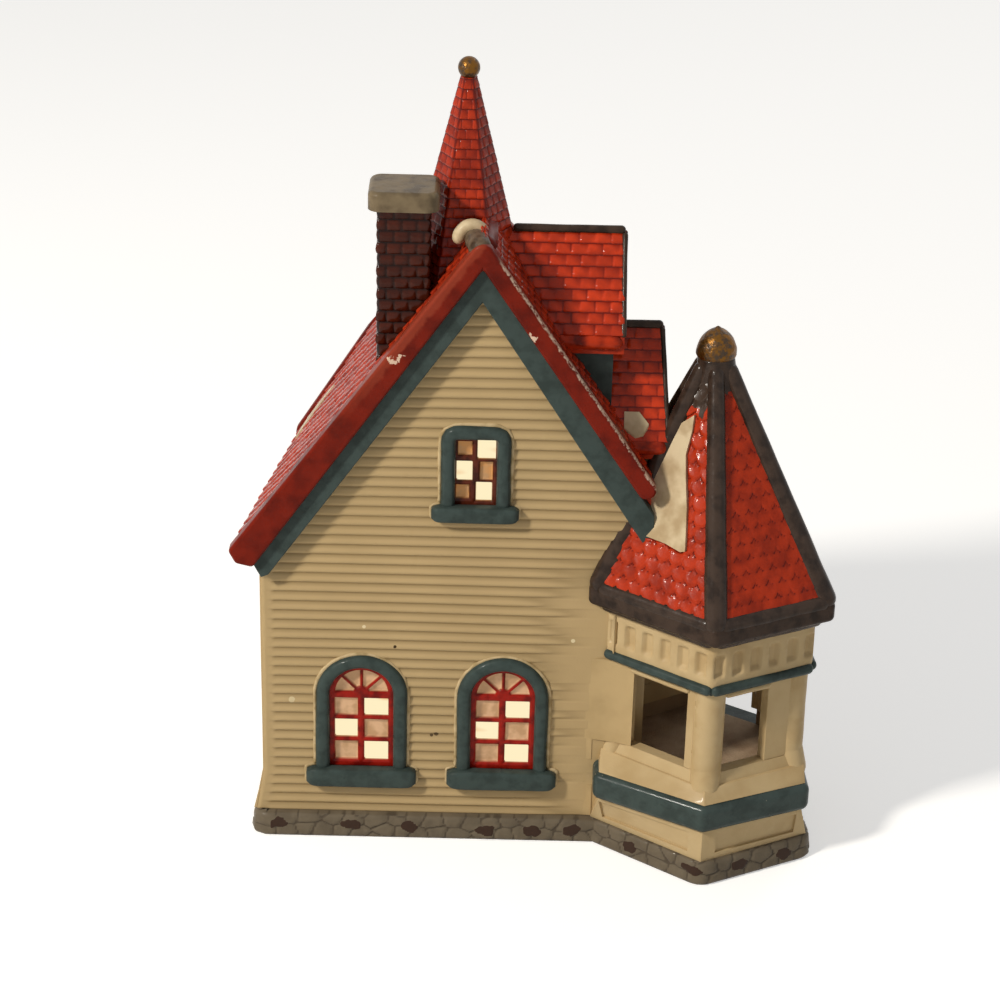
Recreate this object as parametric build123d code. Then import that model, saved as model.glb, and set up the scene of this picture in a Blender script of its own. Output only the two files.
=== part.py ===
from build123d import *
from functools import cache
import math
import os

# Lighted ceramic village house, seen from its front gable: -Y is the front, +X the turret's
# side and +Z up. It is laid out from the ground line, the outer face of the front wall and
# the middle of the front gable, and moved to the middle of its own footprint at the end.
# All sizes are in millimetres.

# Cast walls
WALL = 3.5               # thickness of the cast walls
RUNNING_GAP = 0.3        # clearance round the lamp parts that move
PAINT_RELIEF = 0.8       # height of the snow patches over what they lie on

# Main block in plan: the rear is a little narrower than the front
LEFT_FRONT_X = -57.0     # left corner of the front wall
LEFT_BACK_X = -44.0      # left corner of the back wall
RIGHT_X = 46.0           # outer face of the right wall
BLOCK_DEPTH = 54.0       # front face to back face
FOUNDATION_H = 6.8       # height of the stone course
FOUNDATION_OUT = 3.4     # its reach beyond the wall
SKIRT_TOP_Z = 20.0       # the left wall flares out below this height
SKIRT_OUT = 2.4

# Main roof
GABLE_X = 1.5            # the ridge stands over this line
RIDGE_Z = 180.5
ROOF_DROP = 7.0          # vertical thickness of the roof casting
LEFT_EAVE_FRONT = (-64.8, 89.5)
LEFT_EAVE_BACK = (-51.0, 97.5)
RIGHT_EAVE = (47.5, 112.4)
ROOF_FRONT_Y = -1.5
ROOF_REAR_OUT = 1.5      # the roof reaches this far past the back wall
ROOF_BACK_Y = BLOCK_DEPTH + ROOF_REAR_OUT
HIP_RUN = 23.0           # the hip starts this far in front of the back wall
HIP_TOP_Y = BLOCK_DEPTH - HIP_RUN
HIP_FOOT_Z = 130.0       # height of the hip at the rear rim

# Rims on the two gables, and the trim boards under them
RIM_FRONT_Y = -6.0
RIM_THICK_BACK = 3.0
RIM_BACK_Y = ROOF_BACK_Y + RIM_THICK_BACK
RIM_RISE = 1.5           # the rim stands this much over the roof
RIM_INNER_APEX = (1.5, 173.0)
RIM_LEFT_HEEL = (-63.3, 87.3)
RIM_LEFT_INNER = (-58.6, 86.2)
RIM_RIGHT_END_X = 48.5
RIM_RIGHT_DROP = 9.0
RIM_END_ROUND = 2.5
TRIM_OUT = 4.0           # the trim boards stand this far off the gable walls
TRIM_INNER_APEX = (1.6, 163.4)
TRIM_LEFT_HEEL = (-56.6, 82.4)
TRIM_LEFT_INNER = (-54.6, 83.2)
TRIM_RIGHT_DROP = 12.5
REAR_RIM_DROP = 8.0
REAR_TRIM_DROP = 7.5
REAR_TRIM_OUT = 2.5

# Ridge cap
CAP_RADIUS = 4.0
CAP_CENTRE_Z = 178.7
CAP_FRONT_Y = -5.5

# Cross gables on the right, both on one middle line
CROSS_Y = 22.0
DORMER_RIDGE_Z = 174.3
DORMER_EAVE_Z = 150.6
DORMER_HALF_DEPTH = 16.5
DORMER_END_X = 38.8
DORMER_WALL_X = 36.2
DORMER_WALL_INSET = 3.0
DORMER_DROP = 4.6        # vertical thickness of its roof
WING_RIDGE_Z = 147.9
WING_EAVE_Z = 121.0
WING_HALF_DEPTH = 17.5
WING_RIDGE_END_X = 49.8
WING_EAVE_END_X = 52.0
WING_WALL_X = 48.8
WING_WALL_INSET = 2.0
WING_DROP = 4.6
CAP_BAR_W = 3.6          # bar along each cross ridge
CAP_BAR_H = 1.5

# Chimney
CHIMNEY_X0 = -26.3
CHIMNEY_X1 = -12.0
CHIMNEY_Y0 = 3.0
CHIMNEY_Y1 = 15.5
CHIMNEY_TOP_Z = 185.5
CHIMNEY_WALL = 3.0
CHIMNEY_CAP_OUT = 2.0
CHIMNEY_CAP_H = 5.0

# Spire over the crossing: six sides, with a flat side to the front
SPIRE_X = -3.3
SPIRE_TIP_Z = 226.0      # where its sides would meet
SPIRE_TOP_Z = 215.4
SPIRE_TAPER = 0.244      # corner radius gained for each mm below the tip
SPIRE_WALL = 2.6
SPIRE_BALL_R = 2.9
SPIRE_SNOW_R = 4.7
SPIRE_SNOW_W = 1.9
SPIRE_SNOW_X = -2.3
SPIRE_SNOW_Z = 179.0

# Arched windows of the ground floor
LOW_WINDOW_X = (-29.7, 9.5)
LOW_SASH_HALF = 8.9
LOW_SASH_BASE_Z = 21.8
LOW_SPRING_Z = 44.6
LOW_CASING_W = 3.9
LOW_SILL_HALF = 15.3
LOW_SILL_H = 6.9
# Square window of the gable
HIGH_WINDOW_X = 0.7
HIGH_SASH_HALF = 5.6
HIGH_SASH_BASE_Z = 104.0
HIGH_SASH_TOP_Z = 123.4
HIGH_CASING_W = 3.9
HIGH_SILL_HALF = 11.7
HIGH_SILL_H = 5.2
# Window sections
CASING_OUT = 2.4
SILL_OUT = 4.0
SASH_SET = 0.4           # the sash lies this far inside the wall face
SASH_T = 2.0
PANE_POCKET = 0.9
FILM_T = 0.6
FAN_HUB = 1.7
FAN_RIM = 1.5
FAN_PANES = 4
FAN_BAR_ANGLE = 7.0

# Turret: six sides, with a corner to the front and the rear ones drawn in
TURRET_X = 67.0
TURRET_Y = 12.2
TURRET_TURN = -3.5       # degrees about its upright axis
# Each corner's direction from the middle, and its share of the corner radius
TURRET_CORNERS = ((206, 0.985), (270, 1.0), (329, 0.975), (44, 0.90), (95, 1.04), (150, 1.0))
# The same at the teal band, which bulges forward on both sides
BAND_CORNERS = ((216, 1.01), (270, 1.0), (323, 0.975), (44, 0.90), (95, 1.04), (150, 1.0))
TURRET_BASE_H = 7.0
BAND_Z0 = 17.0
BAND_Z1 = 25.5
PANEL_INSET = 4.4
PANEL_MARGIN = 1.8
PANEL_DEPTH = 0.9
PANEL_REACH = 7.0        # the panels are cut this far to each side of the wall's foot line
FLOOR_Z = 18.0
FLOOR_T = 3.5
SILL_TOP_Z = 32.0
SILL_STEP_Z = 29.0
ROOM_R = 30.6            # corner radius of the posts and the head; the other tiers stand out from it
STRING_R = ROOM_R + 1.7
FRIEZE_R = ROOM_R + 2.6
SILL_STEP_R = ROOM_R + 2.2
SILL_R = ROOM_R + 5.2
TURRET_WALL_R = ROOM_R + 4.6
BAND_R = TURRET_WALL_R + 2.4
TURRET_BASE_TOP_R = TURRET_WALL_R + 1.6
TURRET_BASE_R = TURRET_BASE_TOP_R + 1.0   # corner radius of its stone course at the ground
EAVE_R = ROOM_R + 8.0
ROOF_R = EAVE_R - 1.4    # corner radius of the turret roof where it meets the eave board
ROOM_TOP_Z = 57.8
OPENING_TOP_Z = 55.5
# Openings: side of the turret, distance from its first corner, and width
OPENINGS = ((0, 6.4, 18.5), (1, 5.0, 13.5), (2, 8.0, 18.5))
DOORWAY = (3, 5.3, 15.5)
STRING_H = 3.0
FRIEZE_TOP_Z = 75.5
DENTIL_W = 3.4
DENTIL_GAP = 1.5
DENTIL_DEPTH = 0.7
DENTIL_Z0 = 63.5
DENTIL_Z1 = 73.0
EAVE_H = 6.0
ROOF_TIP_Z = 148.0
ROOF_TIP_LEAN = -3.6     # the tip leans this far to the left
ROOF_SHELL = 3.2         # horizontal thickness of its shell at the corners
ROOF_FOOT_Z = FRIEZE_TOP_Z + EAVE_H
RIB_W_LOW = 6.4
RIB_W_HIGH = 3.6
RIB_CREST = 0.4          # share of a rib's width that is flat on top
RIB_RISE = 1.2
RIB_ROOT = 6.0           # a rib's depth towards the middle before the roof cuts it
FINIAL_R = 5.2
FINIAL_Z = 144.6
COVE_X0 = 30.5           # the cove that blends the front wall into the turret
COVE_X1 = 45.5
COVE_Y1 = -3.9

# Lamp: a clip-in socket with a candelabra bulb, in a round hole in the back wall
LAMP_X = -4.0
LAMP_Z = 32.0
LAMP_HOLE_R = 15.0
FLANGE_R = 17.5
FLANGE_T = 2.0
SOCKET_R = 9.4
SOCKET_REACH_IN = 8.0    # the socket's mouth is this far inside the back wall's face
SOCKET_REACH_OUT = 24.0
SOCKET_FRONT_Y = BLOCK_DEPTH - SOCKET_REACH_IN
SOCKET_BACK_Y = BLOCK_DEPTH + SOCKET_REACH_OUT
SOCKET_BORE_R = 7.4
SOCKET_BORE_DEPTH = 21.0
CORD_INLET_R = 2.1
LINER_T = 0.6
SCREW_R = 6.0            # brass screw base of the bulb
SCREW_L = 13.0
TIP_CONTACT_R = 2.4
TIP_CONTACT_L = 1.6
BULB_R = 10.6
BULB_NECK_R = 5.8
BULB_L = 36.0
BULB_GLASS_T = 0.7
CLIP_ROOT_IN = 0.6       # spring clip wings start this far behind the socket's mouth
CLIP_TIP_IN = 1.2        # and press on the hole's rim this far inside the back wall's face
WING_ROOT_Y = SOCKET_FRONT_Y + CLIP_ROOT_IN
WING_T = 0.6
WING_W = 8.0
WING_SPREAD = 14.2       # reach of a wing from the lamp's axis
WING_TIP_Y = BLOCK_DEPTH - CLIP_TIP_IN
WING_CURL = 0.8          # the tip curls in over this length
WING_CURL_Y = WING_TIP_Y + WING_CURL


def flat(points):
    return make_face(Polyline(*points, close=True))


def slab_xz(points, y0, y1):
    """Outline in the XZ plane carried from y0 to y1."""
    return extrude(Plane.XZ.offset(-y0) * flat(points), amount=y1 - y0, dir=(0, 1, 0))


def slab_yz(points, x0, x1):
    """Outline in the YZ plane carried from x0 to x1."""
    return extrude(Plane.YZ.offset(x0) * flat(points), amount=x1 - x0, dir=(1, 0, 0))


def slab_xy(points, z0, z1):
    """Outline in plan carried from z0 to z1."""
    return extrude(Plane.XY.offset(z0) * flat(points), amount=z1 - z0, dir=(0, 0, 1))


def block(x0, x1, y0, y1, z0, z1):
    return Pos((x0 + x1) / 2, (y0 + y1) / 2, (z0 + z1) / 2) * Box(x1 - x0, y1 - y0, z1 - z0)


def ruled_xz(front, y0, back, y1):
    """Straight-lined solid between an outline at y0 and its partner at y1."""
    first = Plane.XZ.offset(-y0) * flat(front)
    last = Plane.XZ.offset(-y1) * flat(back)
    return loft([first, last], ruled=True)


def lowered(point, drop):
    return (point[0], point[1] - drop)


def along_y(x, z, radius, y0, y1):
    """Round bar along Y."""
    return Pos(x, (y0 + y1) / 2, z) * Rot(90, 0, 0) * Cylinder(radius, y1 - y0)


# ---------------------------------------------------------------- main block

def plan(outset=0.0):
    """Corners of the main block in plan, moved out square to each wall."""
    run = BLOCK_DEPTH
    lean = (LEFT_BACK_X - LEFT_FRONT_X) / run
    side = outset * math.hypot(1, lean)
    front_left = LEFT_FRONT_X - side - outset * lean
    back_left = LEFT_BACK_X - side + outset * lean
    right = RIGHT_X + outset
    return [(front_left, -outset), (right, -outset), (right, run + outset), (back_left, run + outset)]


def roof_profile(eave_left, ridge_z, eave_right, drop=0.0):
    return [lowered(eave_left, drop), (GABLE_X, ridge_z - drop), lowered(eave_right, drop)]


@cache
def under_hip(drop=0.0):
    """Everything below the plane of the rear hip, lowered by drop."""
    fall = (RIDGE_Z - HIP_FOOT_Z) / (RIM_BACK_Y - HIP_TOP_Y)
    front_y = HIP_TOP_Y - 90.0
    rear_y = HIP_TOP_Y + 50.0
    top = [(front_y, RIDGE_Z - drop + fall * 90.0), (rear_y, RIDGE_Z - drop - fall * 50.0)]
    return slab_yz([(front_y, -60.0)] + top + [(rear_y, -60.0)], -120.0, 120.0)


@cache
def under_roof(drop=0.0):
    """Everything below the main roof's surface, lowered by drop."""
    front = roof_profile(LEFT_EAVE_FRONT, RIDGE_Z, RIGHT_EAVE, drop)
    back = roof_profile(LEFT_EAVE_BACK, RIDGE_Z, RIGHT_EAVE, drop)
    floor_z = -50.0
    close_front = [(RIGHT_EAVE[0], floor_z), (LEFT_EAVE_FRONT[0], floor_z)]
    close_back = [(RIGHT_EAVE[0], floor_z), (LEFT_EAVE_BACK[0], floor_z)]
    gabled = ruled_xz(front + close_front, ROOF_FRONT_Y, back + close_back, ROOF_BACK_Y)
    return gabled & under_hip(drop)


def wall_shell():
    """Four walls up to the underside of the roof, open below and above."""
    tall = RIDGE_Z
    outside = slab_xy(plan(), FOUNDATION_H, tall) & under_roof(ROOF_DROP)
    return outside - slab_xy(plan(-WALL), 0, tall)


def left_skirt():
    """Flare along the foot of the left wall."""
    corner = plan(SKIRT_OUT)
    front_left = plan()[0]
    back_left = plan()[3]
    foot = [front_left, (corner[0][0], 0), (corner[3][0], BLOCK_DEPTH), back_left]
    top = [front_left, (front_left[0] - 0.05, 0), (back_left[0] - 0.05, BLOCK_DEPTH), back_left]
    low = Plane.XY.offset(FOUNDATION_H) * flat(foot)
    high = Plane.XY.offset(SKIRT_TOP_Z) * flat(top)
    return loft([low, high], ruled=True)


def walls():
    """The shell parted at the corners, so each wall is a slab."""
    shell = wall_shell()
    reach = 120.0
    low = 0.0
    high = 200.0
    front = shell & block(-reach, reach, 0, WALL, low, high)
    back = shell & block(-reach, reach, BLOCK_DEPTH - WALL, BLOCK_DEPTH, low, high)
    middle = shell & block(-reach, reach, WALL, BLOCK_DEPTH - WALL, low, high)
    left = middle & block(-reach, 0, 0, BLOCK_DEPTH, low, high)
    right = middle & block(0, reach, 0, BLOCK_DEPTH, low, high)
    skirt = left_skirt() & block(-reach, 0, WALL, BLOCK_DEPTH - WALL, low, high)
    front = front + (left_skirt() & block(-reach, 0, 0, WALL, low, high))
    back = back + (left_skirt() & block(-reach, 0, BLOCK_DEPTH - WALL, BLOCK_DEPTH, low, high))
    return front, back, left + skirt, right


def house_foundation():
    """Stone course under the walls, a ring open in the middle."""
    lower = Plane.XY * flat(plan(FOUNDATION_OUT + 0.8))
    upper = Plane.XY.offset(FOUNDATION_H) * flat(plan(FOUNDATION_OUT))
    ring = loft([lower, upper], ruled=True) - slab_xy(plan(-WALL), 0, FOUNDATION_H)
    return ring - turret_block(TURRET_BASE_R + 0.01, 0, FOUNDATION_H + 1)


# ---------------------------------------------------------------- main roof

def roof_slopes():
    """The slopes of the main roof, left, right and rear hip, face to face."""
    whole = under_roof() - under_roof(ROOF_DROP)
    hip = whole - under_hip(ROOF_DROP)
    slopes = whole & under_hip(ROOF_DROP)
    reach = 120.0
    left = slopes & block(-reach, GABLE_X, -reach, reach, 0, 250)
    right = slopes & block(GABLE_X, reach, -reach, reach, 0, 250)
    return left, right - turret_roof_block(), hip


def rim_outer(eave_left, extra):
    """Rafter line of a rim: left tip, apex, right end."""
    fall = (RIDGE_Z - RIGHT_EAVE[1]) / (RIGHT_EAVE[0] - GABLE_X)
    right_z = RIDGE_Z + extra - fall * (RIM_RIGHT_END_X - GABLE_X)
    return [(eave_left[0] - 0.4, eave_left[1] + extra), (GABLE_X, RIDGE_Z + extra),
            (RIM_RIGHT_END_X, right_z)]


@cache
def front_rim():
    left, apex, right = rim_outer(LEFT_EAVE_FRONT, RIM_RISE)
    inner_right = (right[0], right[1] - RIM_RIGHT_DROP)
    points = [left, apex, right, inner_right, RIM_INNER_APEX, RIM_LEFT_INNER, RIM_LEFT_HEEL]
    rim = slab_xz(points, RIM_FRONT_Y, ROOF_FRONT_Y)
    crown = rim.edges().filter_by(Axis.Y).sort_by(Axis.Z)[-1]
    rim = fillet(crown, 3.0)
    rim = fillet(rim.edges().filter_by(Axis.Y).sort_by(Axis.X)[-2:], RIM_END_ROUND)
    return rim - turret_roof_block()


@cache
def front_trim():
    """Teal board on the gable wall, under the rim."""
    right = rim_outer(LEFT_EAVE_FRONT, RIM_RISE)[2]
    outer_right = (right[0], right[1] - RIM_RIGHT_DROP)
    inner_right = (right[0], outer_right[1] - TRIM_RIGHT_DROP)
    points = [RIM_LEFT_INNER, RIM_INNER_APEX, outer_right, inner_right, TRIM_INNER_APEX,
              TRIM_LEFT_INNER, TRIM_LEFT_HEEL]
    board = slab_xz(points, -TRIM_OUT, 0)
    roof = under_roof() - under_roof(ROOF_DROP)
    return board - roof - turret_roof_block() - turret_eave_block()


def rear_band(drop_from, drop_to, y0, y1):
    """Band round the clipped back gable, between two drops under the rim line."""
    top = [lowered(p, drop_from) for p in rim_outer(LEFT_EAVE_BACK, RIM_RISE)]
    low = [lowered(p, drop_to) for p in rim_outer(LEFT_EAVE_BACK, RIM_RISE)]
    upper = slab_xz(top + [(top[2][0], 0), (top[0][0], 0)], y0, y1) & under_hip(drop_from - RIM_RISE)
    inner = slab_xz(low + [(low[2][0], 0), (low[0][0], 0)], y0, y1) & under_hip(drop_to - RIM_RISE)
    return upper - inner


@cache
def rear_rim():
    return rear_band(0, REAR_RIM_DROP, ROOF_BACK_Y, RIM_BACK_Y)


def rear_trim():
    band = rear_band(REAR_RIM_DROP, REAR_RIM_DROP + REAR_TRIM_DROP, BLOCK_DEPTH,
                     BLOCK_DEPTH + REAR_TRIM_OUT)
    return band - (under_roof() - under_roof(ROOF_DROP))


@cache
def ridge_cap():
    """Round cap along the ridge, in front of the spire and behind it."""
    bar = along_y(GABLE_X, CAP_CENTRE_Z, CAP_RADIUS, CAP_FRONT_Y, CROSS_Y)
    return bar - under_roof() - front_rim() - spire_block(0) - dormer_block()


# ---------------------------------------------------------------- cross gables

def gable_yz(ridge_z, eave_z, half, drop=0.0, floor_z=None):
    """Profile of a cross gable; closed along a floor line, or as a band drop thick."""
    top = [(CROSS_Y - half, eave_z), (CROSS_Y, ridge_z), (CROSS_Y + half, eave_z)]
    if floor_z is not None:
        low = [lowered(p, drop) for p in top]
        return low + [(CROSS_Y + half, floor_z), (CROSS_Y - half, floor_z)]
    return top + [lowered(p, drop) for p in top[::-1]]


@cache
def dormer_block():
    """Everything under the upper cross gable's surface."""
    profile = gable_yz(DORMER_RIDGE_Z, DORMER_EAVE_Z, DORMER_HALF_DEPTH, 0, 100.0)
    return slab_yz(profile, GABLE_X, DORMER_END_X)


@cache
def wing_block():
    """Everything under the lower cross gable's surface."""
    profile = gable_yz(WING_RIDGE_Z, WING_EAVE_Z, WING_HALF_DEPTH, 0, 60.0)
    return slab_yz(profile, GABLE_X, WING_EAVE_END_X)


def dormer_roof():
    band = gable_yz(DORMER_RIDGE_Z, DORMER_EAVE_Z, DORMER_HALF_DEPTH, DORMER_DROP)
    roof = slab_yz(band, GABLE_X, DORMER_END_X)
    return roof - under_roof() - spire_block(0)


def dormer_walls():
    """Cheeks and gable of the upper cross gable, standing on the roofs below."""
    half = DORMER_HALF_DEPTH - DORMER_WALL_INSET
    outside = block(GABLE_X, DORMER_WALL_X, CROSS_Y - half, CROSS_Y + half, 110, 180)
    inside = block(0, DORMER_WALL_X - WALL, CROSS_Y - half + WALL, CROSS_Y + half - WALL, 100, 180)
    profile = gable_yz(DORMER_RIDGE_Z, DORMER_EAVE_Z, DORMER_HALF_DEPTH, DORMER_DROP, 100.0)
    under = slab_yz(profile, GABLE_X, DORMER_END_X)
    return ((outside - inside) & under) - under_roof() - wing_block()


def wing_roof():
    """Lower cross gable roof; its verge leans out a little towards the eaves."""
    band = gable_yz(WING_RIDGE_Z, WING_EAVE_Z, WING_HALF_DEPTH, WING_DROP)
    roof = slab_yz(band, GABLE_X, WING_EAVE_END_X)
    lean = (WING_EAVE_END_X - WING_RIDGE_END_X) / WING_HALF_DEPTH
    top = WING_RIDGE_END_X
    keep = [(GABLE_X, CROSS_Y - WING_HALF_DEPTH), (top + lean * WING_HALF_DEPTH,
            CROSS_Y - WING_HALF_DEPTH), (top, CROSS_Y), (top + lean * WING_HALF_DEPTH,
            CROSS_Y + WING_HALF_DEPTH), (GABLE_X, CROSS_Y + WING_HALF_DEPTH)]
    return (roof & slab_xy(keep, 0, 200)) - under_roof() - turret_roof_block() - dormer_solid()


def wing_gable_wall():
    """Shallow gable wall on the right side, up to the lower cross gable."""
    half = WING_HALF_DEPTH - WING_WALL_INSET
    slab = block(RIGHT_X, WING_WALL_X, CROSS_Y - half, CROSS_Y + half, FOUNDATION_H, 180)
    profile = gable_yz(WING_RIDGE_Z, WING_EAVE_Z, WING_HALF_DEPTH, WING_DROP, 0.0)
    under = slab_yz(profile, 0, 80)
    roof = under_roof() - under_roof(ROOF_DROP)
    return (slab & under) - roof


def ridge_bar(ridge_z, x1):
    """Bar with sloped sides along a cross ridge."""
    half = CAP_BAR_W / 2
    low_z = ridge_z - CAP_BAR_W
    points = [(CROSS_Y - half, low_z), (CROSS_Y - half, ridge_z + CAP_BAR_H * 0.4),
              (CROSS_Y - half * 0.5, ridge_z + CAP_BAR_H), (CROSS_Y + half * 0.5, ridge_z + CAP_BAR_H),
              (CROSS_Y + half, ridge_z + CAP_BAR_H * 0.4), (CROSS_Y + half, low_z)]
    return slab_yz(points, GABLE_X, x1)


def dormer_ridge():
    bar = ridge_bar(DORMER_RIDGE_Z, DORMER_END_X)
    return bar - under_roof() - dormer_block() - spire_block(0)


def wing_ridge():
    bar = ridge_bar(WING_RIDGE_Z, WING_RIDGE_END_X)
    return bar - under_roof() - wing_block() - dormer_solid()


def dormer_solid():
    """Outer body of the upper cross gable under its eaves."""
    half = DORMER_HALF_DEPTH - DORMER_WALL_INSET
    return block(GABLE_X, DORMER_WALL_X, CROSS_Y - half, CROSS_Y + half, 100, DORMER_RIDGE_Z - 10)


# ---------------------------------------------------------------- chimney and spire

def chimney_stack():
    outer = block(CHIMNEY_X0, CHIMNEY_X1, CHIMNEY_Y0, CHIMNEY_Y1, 120, CHIMNEY_TOP_Z)
    inset = CHIMNEY_WALL
    flue = block(CHIMNEY_X0 + inset, CHIMNEY_X1 - inset, CHIMNEY_Y0 + inset, CHIMNEY_Y1 - inset,
                 110, CHIMNEY_TOP_Z)
    return outer - flue - under_roof()


def chimney_cap():
    out = CHIMNEY_CAP_OUT
    cap = block(CHIMNEY_X0 - out, CHIMNEY_X1 + out, CHIMNEY_Y0 - out, CHIMNEY_Y1 + out,
                CHIMNEY_TOP_Z, CHIMNEY_TOP_Z + CHIMNEY_CAP_H)
    cap = fillet(cap.edges().filter_by(Axis.Z), 3.2)
    return fillet(cap.edges().group_by(Axis.Z)[-1], 1.4)


def hexagon(radius, first_angle):
    corners = []
    for k in range(6):
        angle = math.radians(first_angle + 60 * k)
        corners.append((radius * math.cos(angle), radius * math.sin(angle)))
    return corners


def hex_taper(r0, z0, r1, z1, first_angle):
    if r0 == r1:
        return slab_xy(hexagon(r0, first_angle), z0, z1)
    low = Plane.XY.offset(z0) * flat(hexagon(r0, first_angle))
    high = Plane.XY.offset(z1) * flat(hexagon(r1, first_angle))
    return loft([low, high], ruled=True)


@cache
def spire_block(inset):
    """Six-sided spire, its corners drawn in by inset."""
    low_z = 140.0
    top_z = SPIRE_TOP_Z - 2 * inset
    r_low = SPIRE_TAPER * (SPIRE_TIP_Z - low_z) - inset
    r_top = max(SPIRE_TAPER * (SPIRE_TIP_Z - top_z) - inset, 0.3)
    return Pos(SPIRE_X, CROSS_Y, 0) * hex_taper(r_low, low_z, r_top, top_z, 0)


def spire_shell():
    shell = spire_block(0) - spire_block(SPIRE_WALL)
    stack = block(CHIMNEY_X0, CHIMNEY_X1, CHIMNEY_Y0, CHIMNEY_Y1, 120, CHIMNEY_TOP_Z)
    return shell - under_roof() - stack


def spire_ball():
    top_r = SPIRE_TAPER * (SPIRE_TIP_Z - SPIRE_TOP_Z)
    centre_z = SPIRE_TOP_Z + math.sqrt(SPIRE_BALL_R ** 2 - (0.7 * top_r) ** 2)
    ball = Pos(SPIRE_X, CROSS_Y, centre_z) * Sphere(SPIRE_BALL_R)
    return ball - block(-90, 90, -90, 90, 150, SPIRE_TOP_Z)


def spire_snow():
    """Arch of snow where the ridge runs into the spire."""
    face_y = CROSS_Y - SPIRE_TAPER * math.cos(math.pi / 6) * (SPIRE_TIP_Z - SPIRE_SNOW_Z)
    ring = along_y(SPIRE_SNOW_X, SPIRE_SNOW_Z, SPIRE_SNOW_R, face_y - 1.6, face_y + 2.0)
    ring = ring - along_y(SPIRE_SNOW_X, SPIRE_SNOW_Z, SPIRE_SNOW_R - SPIRE_SNOW_W, face_y - 2,
                          face_y + 3)
    upper = block(-60, 60, -60, 60, SPIRE_SNOW_Z - 3.5, 200)
    return (ring & upper) - under_roof() - spire_block(0) - ridge_cap() - dormer_block()


# ---------------------------------------------------------------- snow patches

def raised_roof():
    """Skin of snow thickness over the main roof."""
    return (Pos(0, 0, PAINT_RELIEF / math.cos(math.radians(54))) * under_roof()) - under_roof()


def roof_snow():
    """Narrow streak low on the left slope."""
    points = [(-50.6, 43.5), (-47.8, 42.6), (-43.5, 42.4), (-39.5, 42.2), (-41.5, 45.5),
              (-44.2, 48.6), (-47.2, 50.3), (-49.4, 48.0)]
    return slab_xy(points, 60, 160) & raised_roof()


def wing_snow():
    """Six-cornered patch low on the wing roof's front slope."""
    points = [(39.7, 8.4), (43.8, 8.4), (46.4, 6.6), (45.0, 5.2), (42.8, 4.7), (39.7, 6.0)]
    raised = Pos(0, 0, PAINT_RELIEF * 1.8) * wing_block()
    return (slab_xy(points, 100, 160) & raised) - wing_block() - under_roof()


def turret_snow():
    """Large patch on the turret roof's left front side, up to its left hip."""
    # Level distance from the front corner, and height
    points = [(27.7, 125.1), (22.9, 129.3), (22.3, 125.4), (22.2, 119.6), (20.3, 114.1), (17.6, 107.3),
              (14.6, 97.1), (16.0, 96.6), (21.0, 97.4), (28.1, 97.6), (34.0, 100.5), (34.5, 108.7),
              (33.5, 113.8), (29.7, 122.3)]
    left, front = turret_ring(ROOF_R)[:2]
    along = (front[0] - left[0], front[1] - left[1], 0)
    side_plane = Plane(origin=(front[0], front[1], 0), x_dir=along, z_dir=(along[1], -along[0], 0))
    outline = flat([(-distance, z) for distance, z in points])
    prism = extrude(side_plane * outline, amount=30, both=True)
    raised = roof_taper(PAINT_RELIEF + 0.4) - roof_taper(0)
    patch = in_turret((prism & raised) - ribs())
    return patch - house_block() - front_rim() - front_trim() - under_roof() - wing_block()


# ---------------------------------------------------------------- windows

def arch_outline(half, base_z, spring_z):
    """Upright outline with a half-round head."""
    box = Pos(0, (base_z + spring_z) / 2) * Rectangle(2 * half, spring_z - base_z)
    return box + Pos(0, spring_z) * Circle(half)


def box_outline(half, base_z, top_z):
    return Pos(0, (base_z + top_z) / 2) * Rectangle(2 * half, top_z - base_z)


def upright(sketch, y0, y1):
    """Window outline, drawn in XZ, carried from y0 to y1."""
    return extrude(Plane.XZ.offset(-y0) * sketch, amount=y1 - y0, dir=(0, 1, 0))


def sill(half, top_z, height):
    bar = block(-half, half, -SILL_OUT, 0, top_z - height, top_z)
    bar = fillet(bar.edges().filter_by(Axis.Z).group_by(Axis.Y)[0], 1.8)
    return fillet(bar.edges().group_by(Axis.Y)[0], 0.8)


def casing(outer, inner, half, sill_half, base_z, sill_h):
    """Raised band round an opening, closed below by its sill."""
    ring = upright(outer, -CASING_OUT, 0) - upright(inner, -CASING_OUT - 1, 1)
    ring = fillet(ring.edges().group_by(Axis.Y)[0], 0.7)
    return ring + sill(sill_half, base_z, sill_h)


def pane_cut(x0, x1, z0, z1, through):
    """Cut for one pane: right through where light shows, else a shallow pocket."""
    deep = SASH_T + 1 if through else PANE_POCKET
    cut = block(x0, x1, SASH_SET - 1, SASH_SET + deep, z0, z1)
    return fillet(cut.edges().filter_by(Axis.Y), 0.6)


def fan_panes(radius, spring_z):
    """Wedge-shaped pockets of the fanlight."""
    cuts = None
    step = 180.0 / FAN_PANES
    for k in range(FAN_PANES):
        a0 = math.radians(k * step + FAN_BAR_ANGLE / 2)
        a1 = math.radians((k + 1) * step - FAN_BAR_ANGLE / 2)
        am = (a0 + a1) / 2
        outer = [(radius * math.cos(a), radius * math.sin(a)) for a in (a0, am, a1)]
        inner = [(FAN_HUB * math.cos(a), FAN_HUB * math.sin(a)) for a in (a1, a0)]
        edges = ThreePointArc(*outer) + Polyline(outer[2], inner[0], inner[1], outer[0])
        face = Pos(0, spring_z) * make_face(edges)
        wedge = upright(face, SASH_SET - 1, SASH_SET + PANE_POCKET)
        cuts = wedge if cuts is None else cuts + wedge
    return cuts


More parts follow.
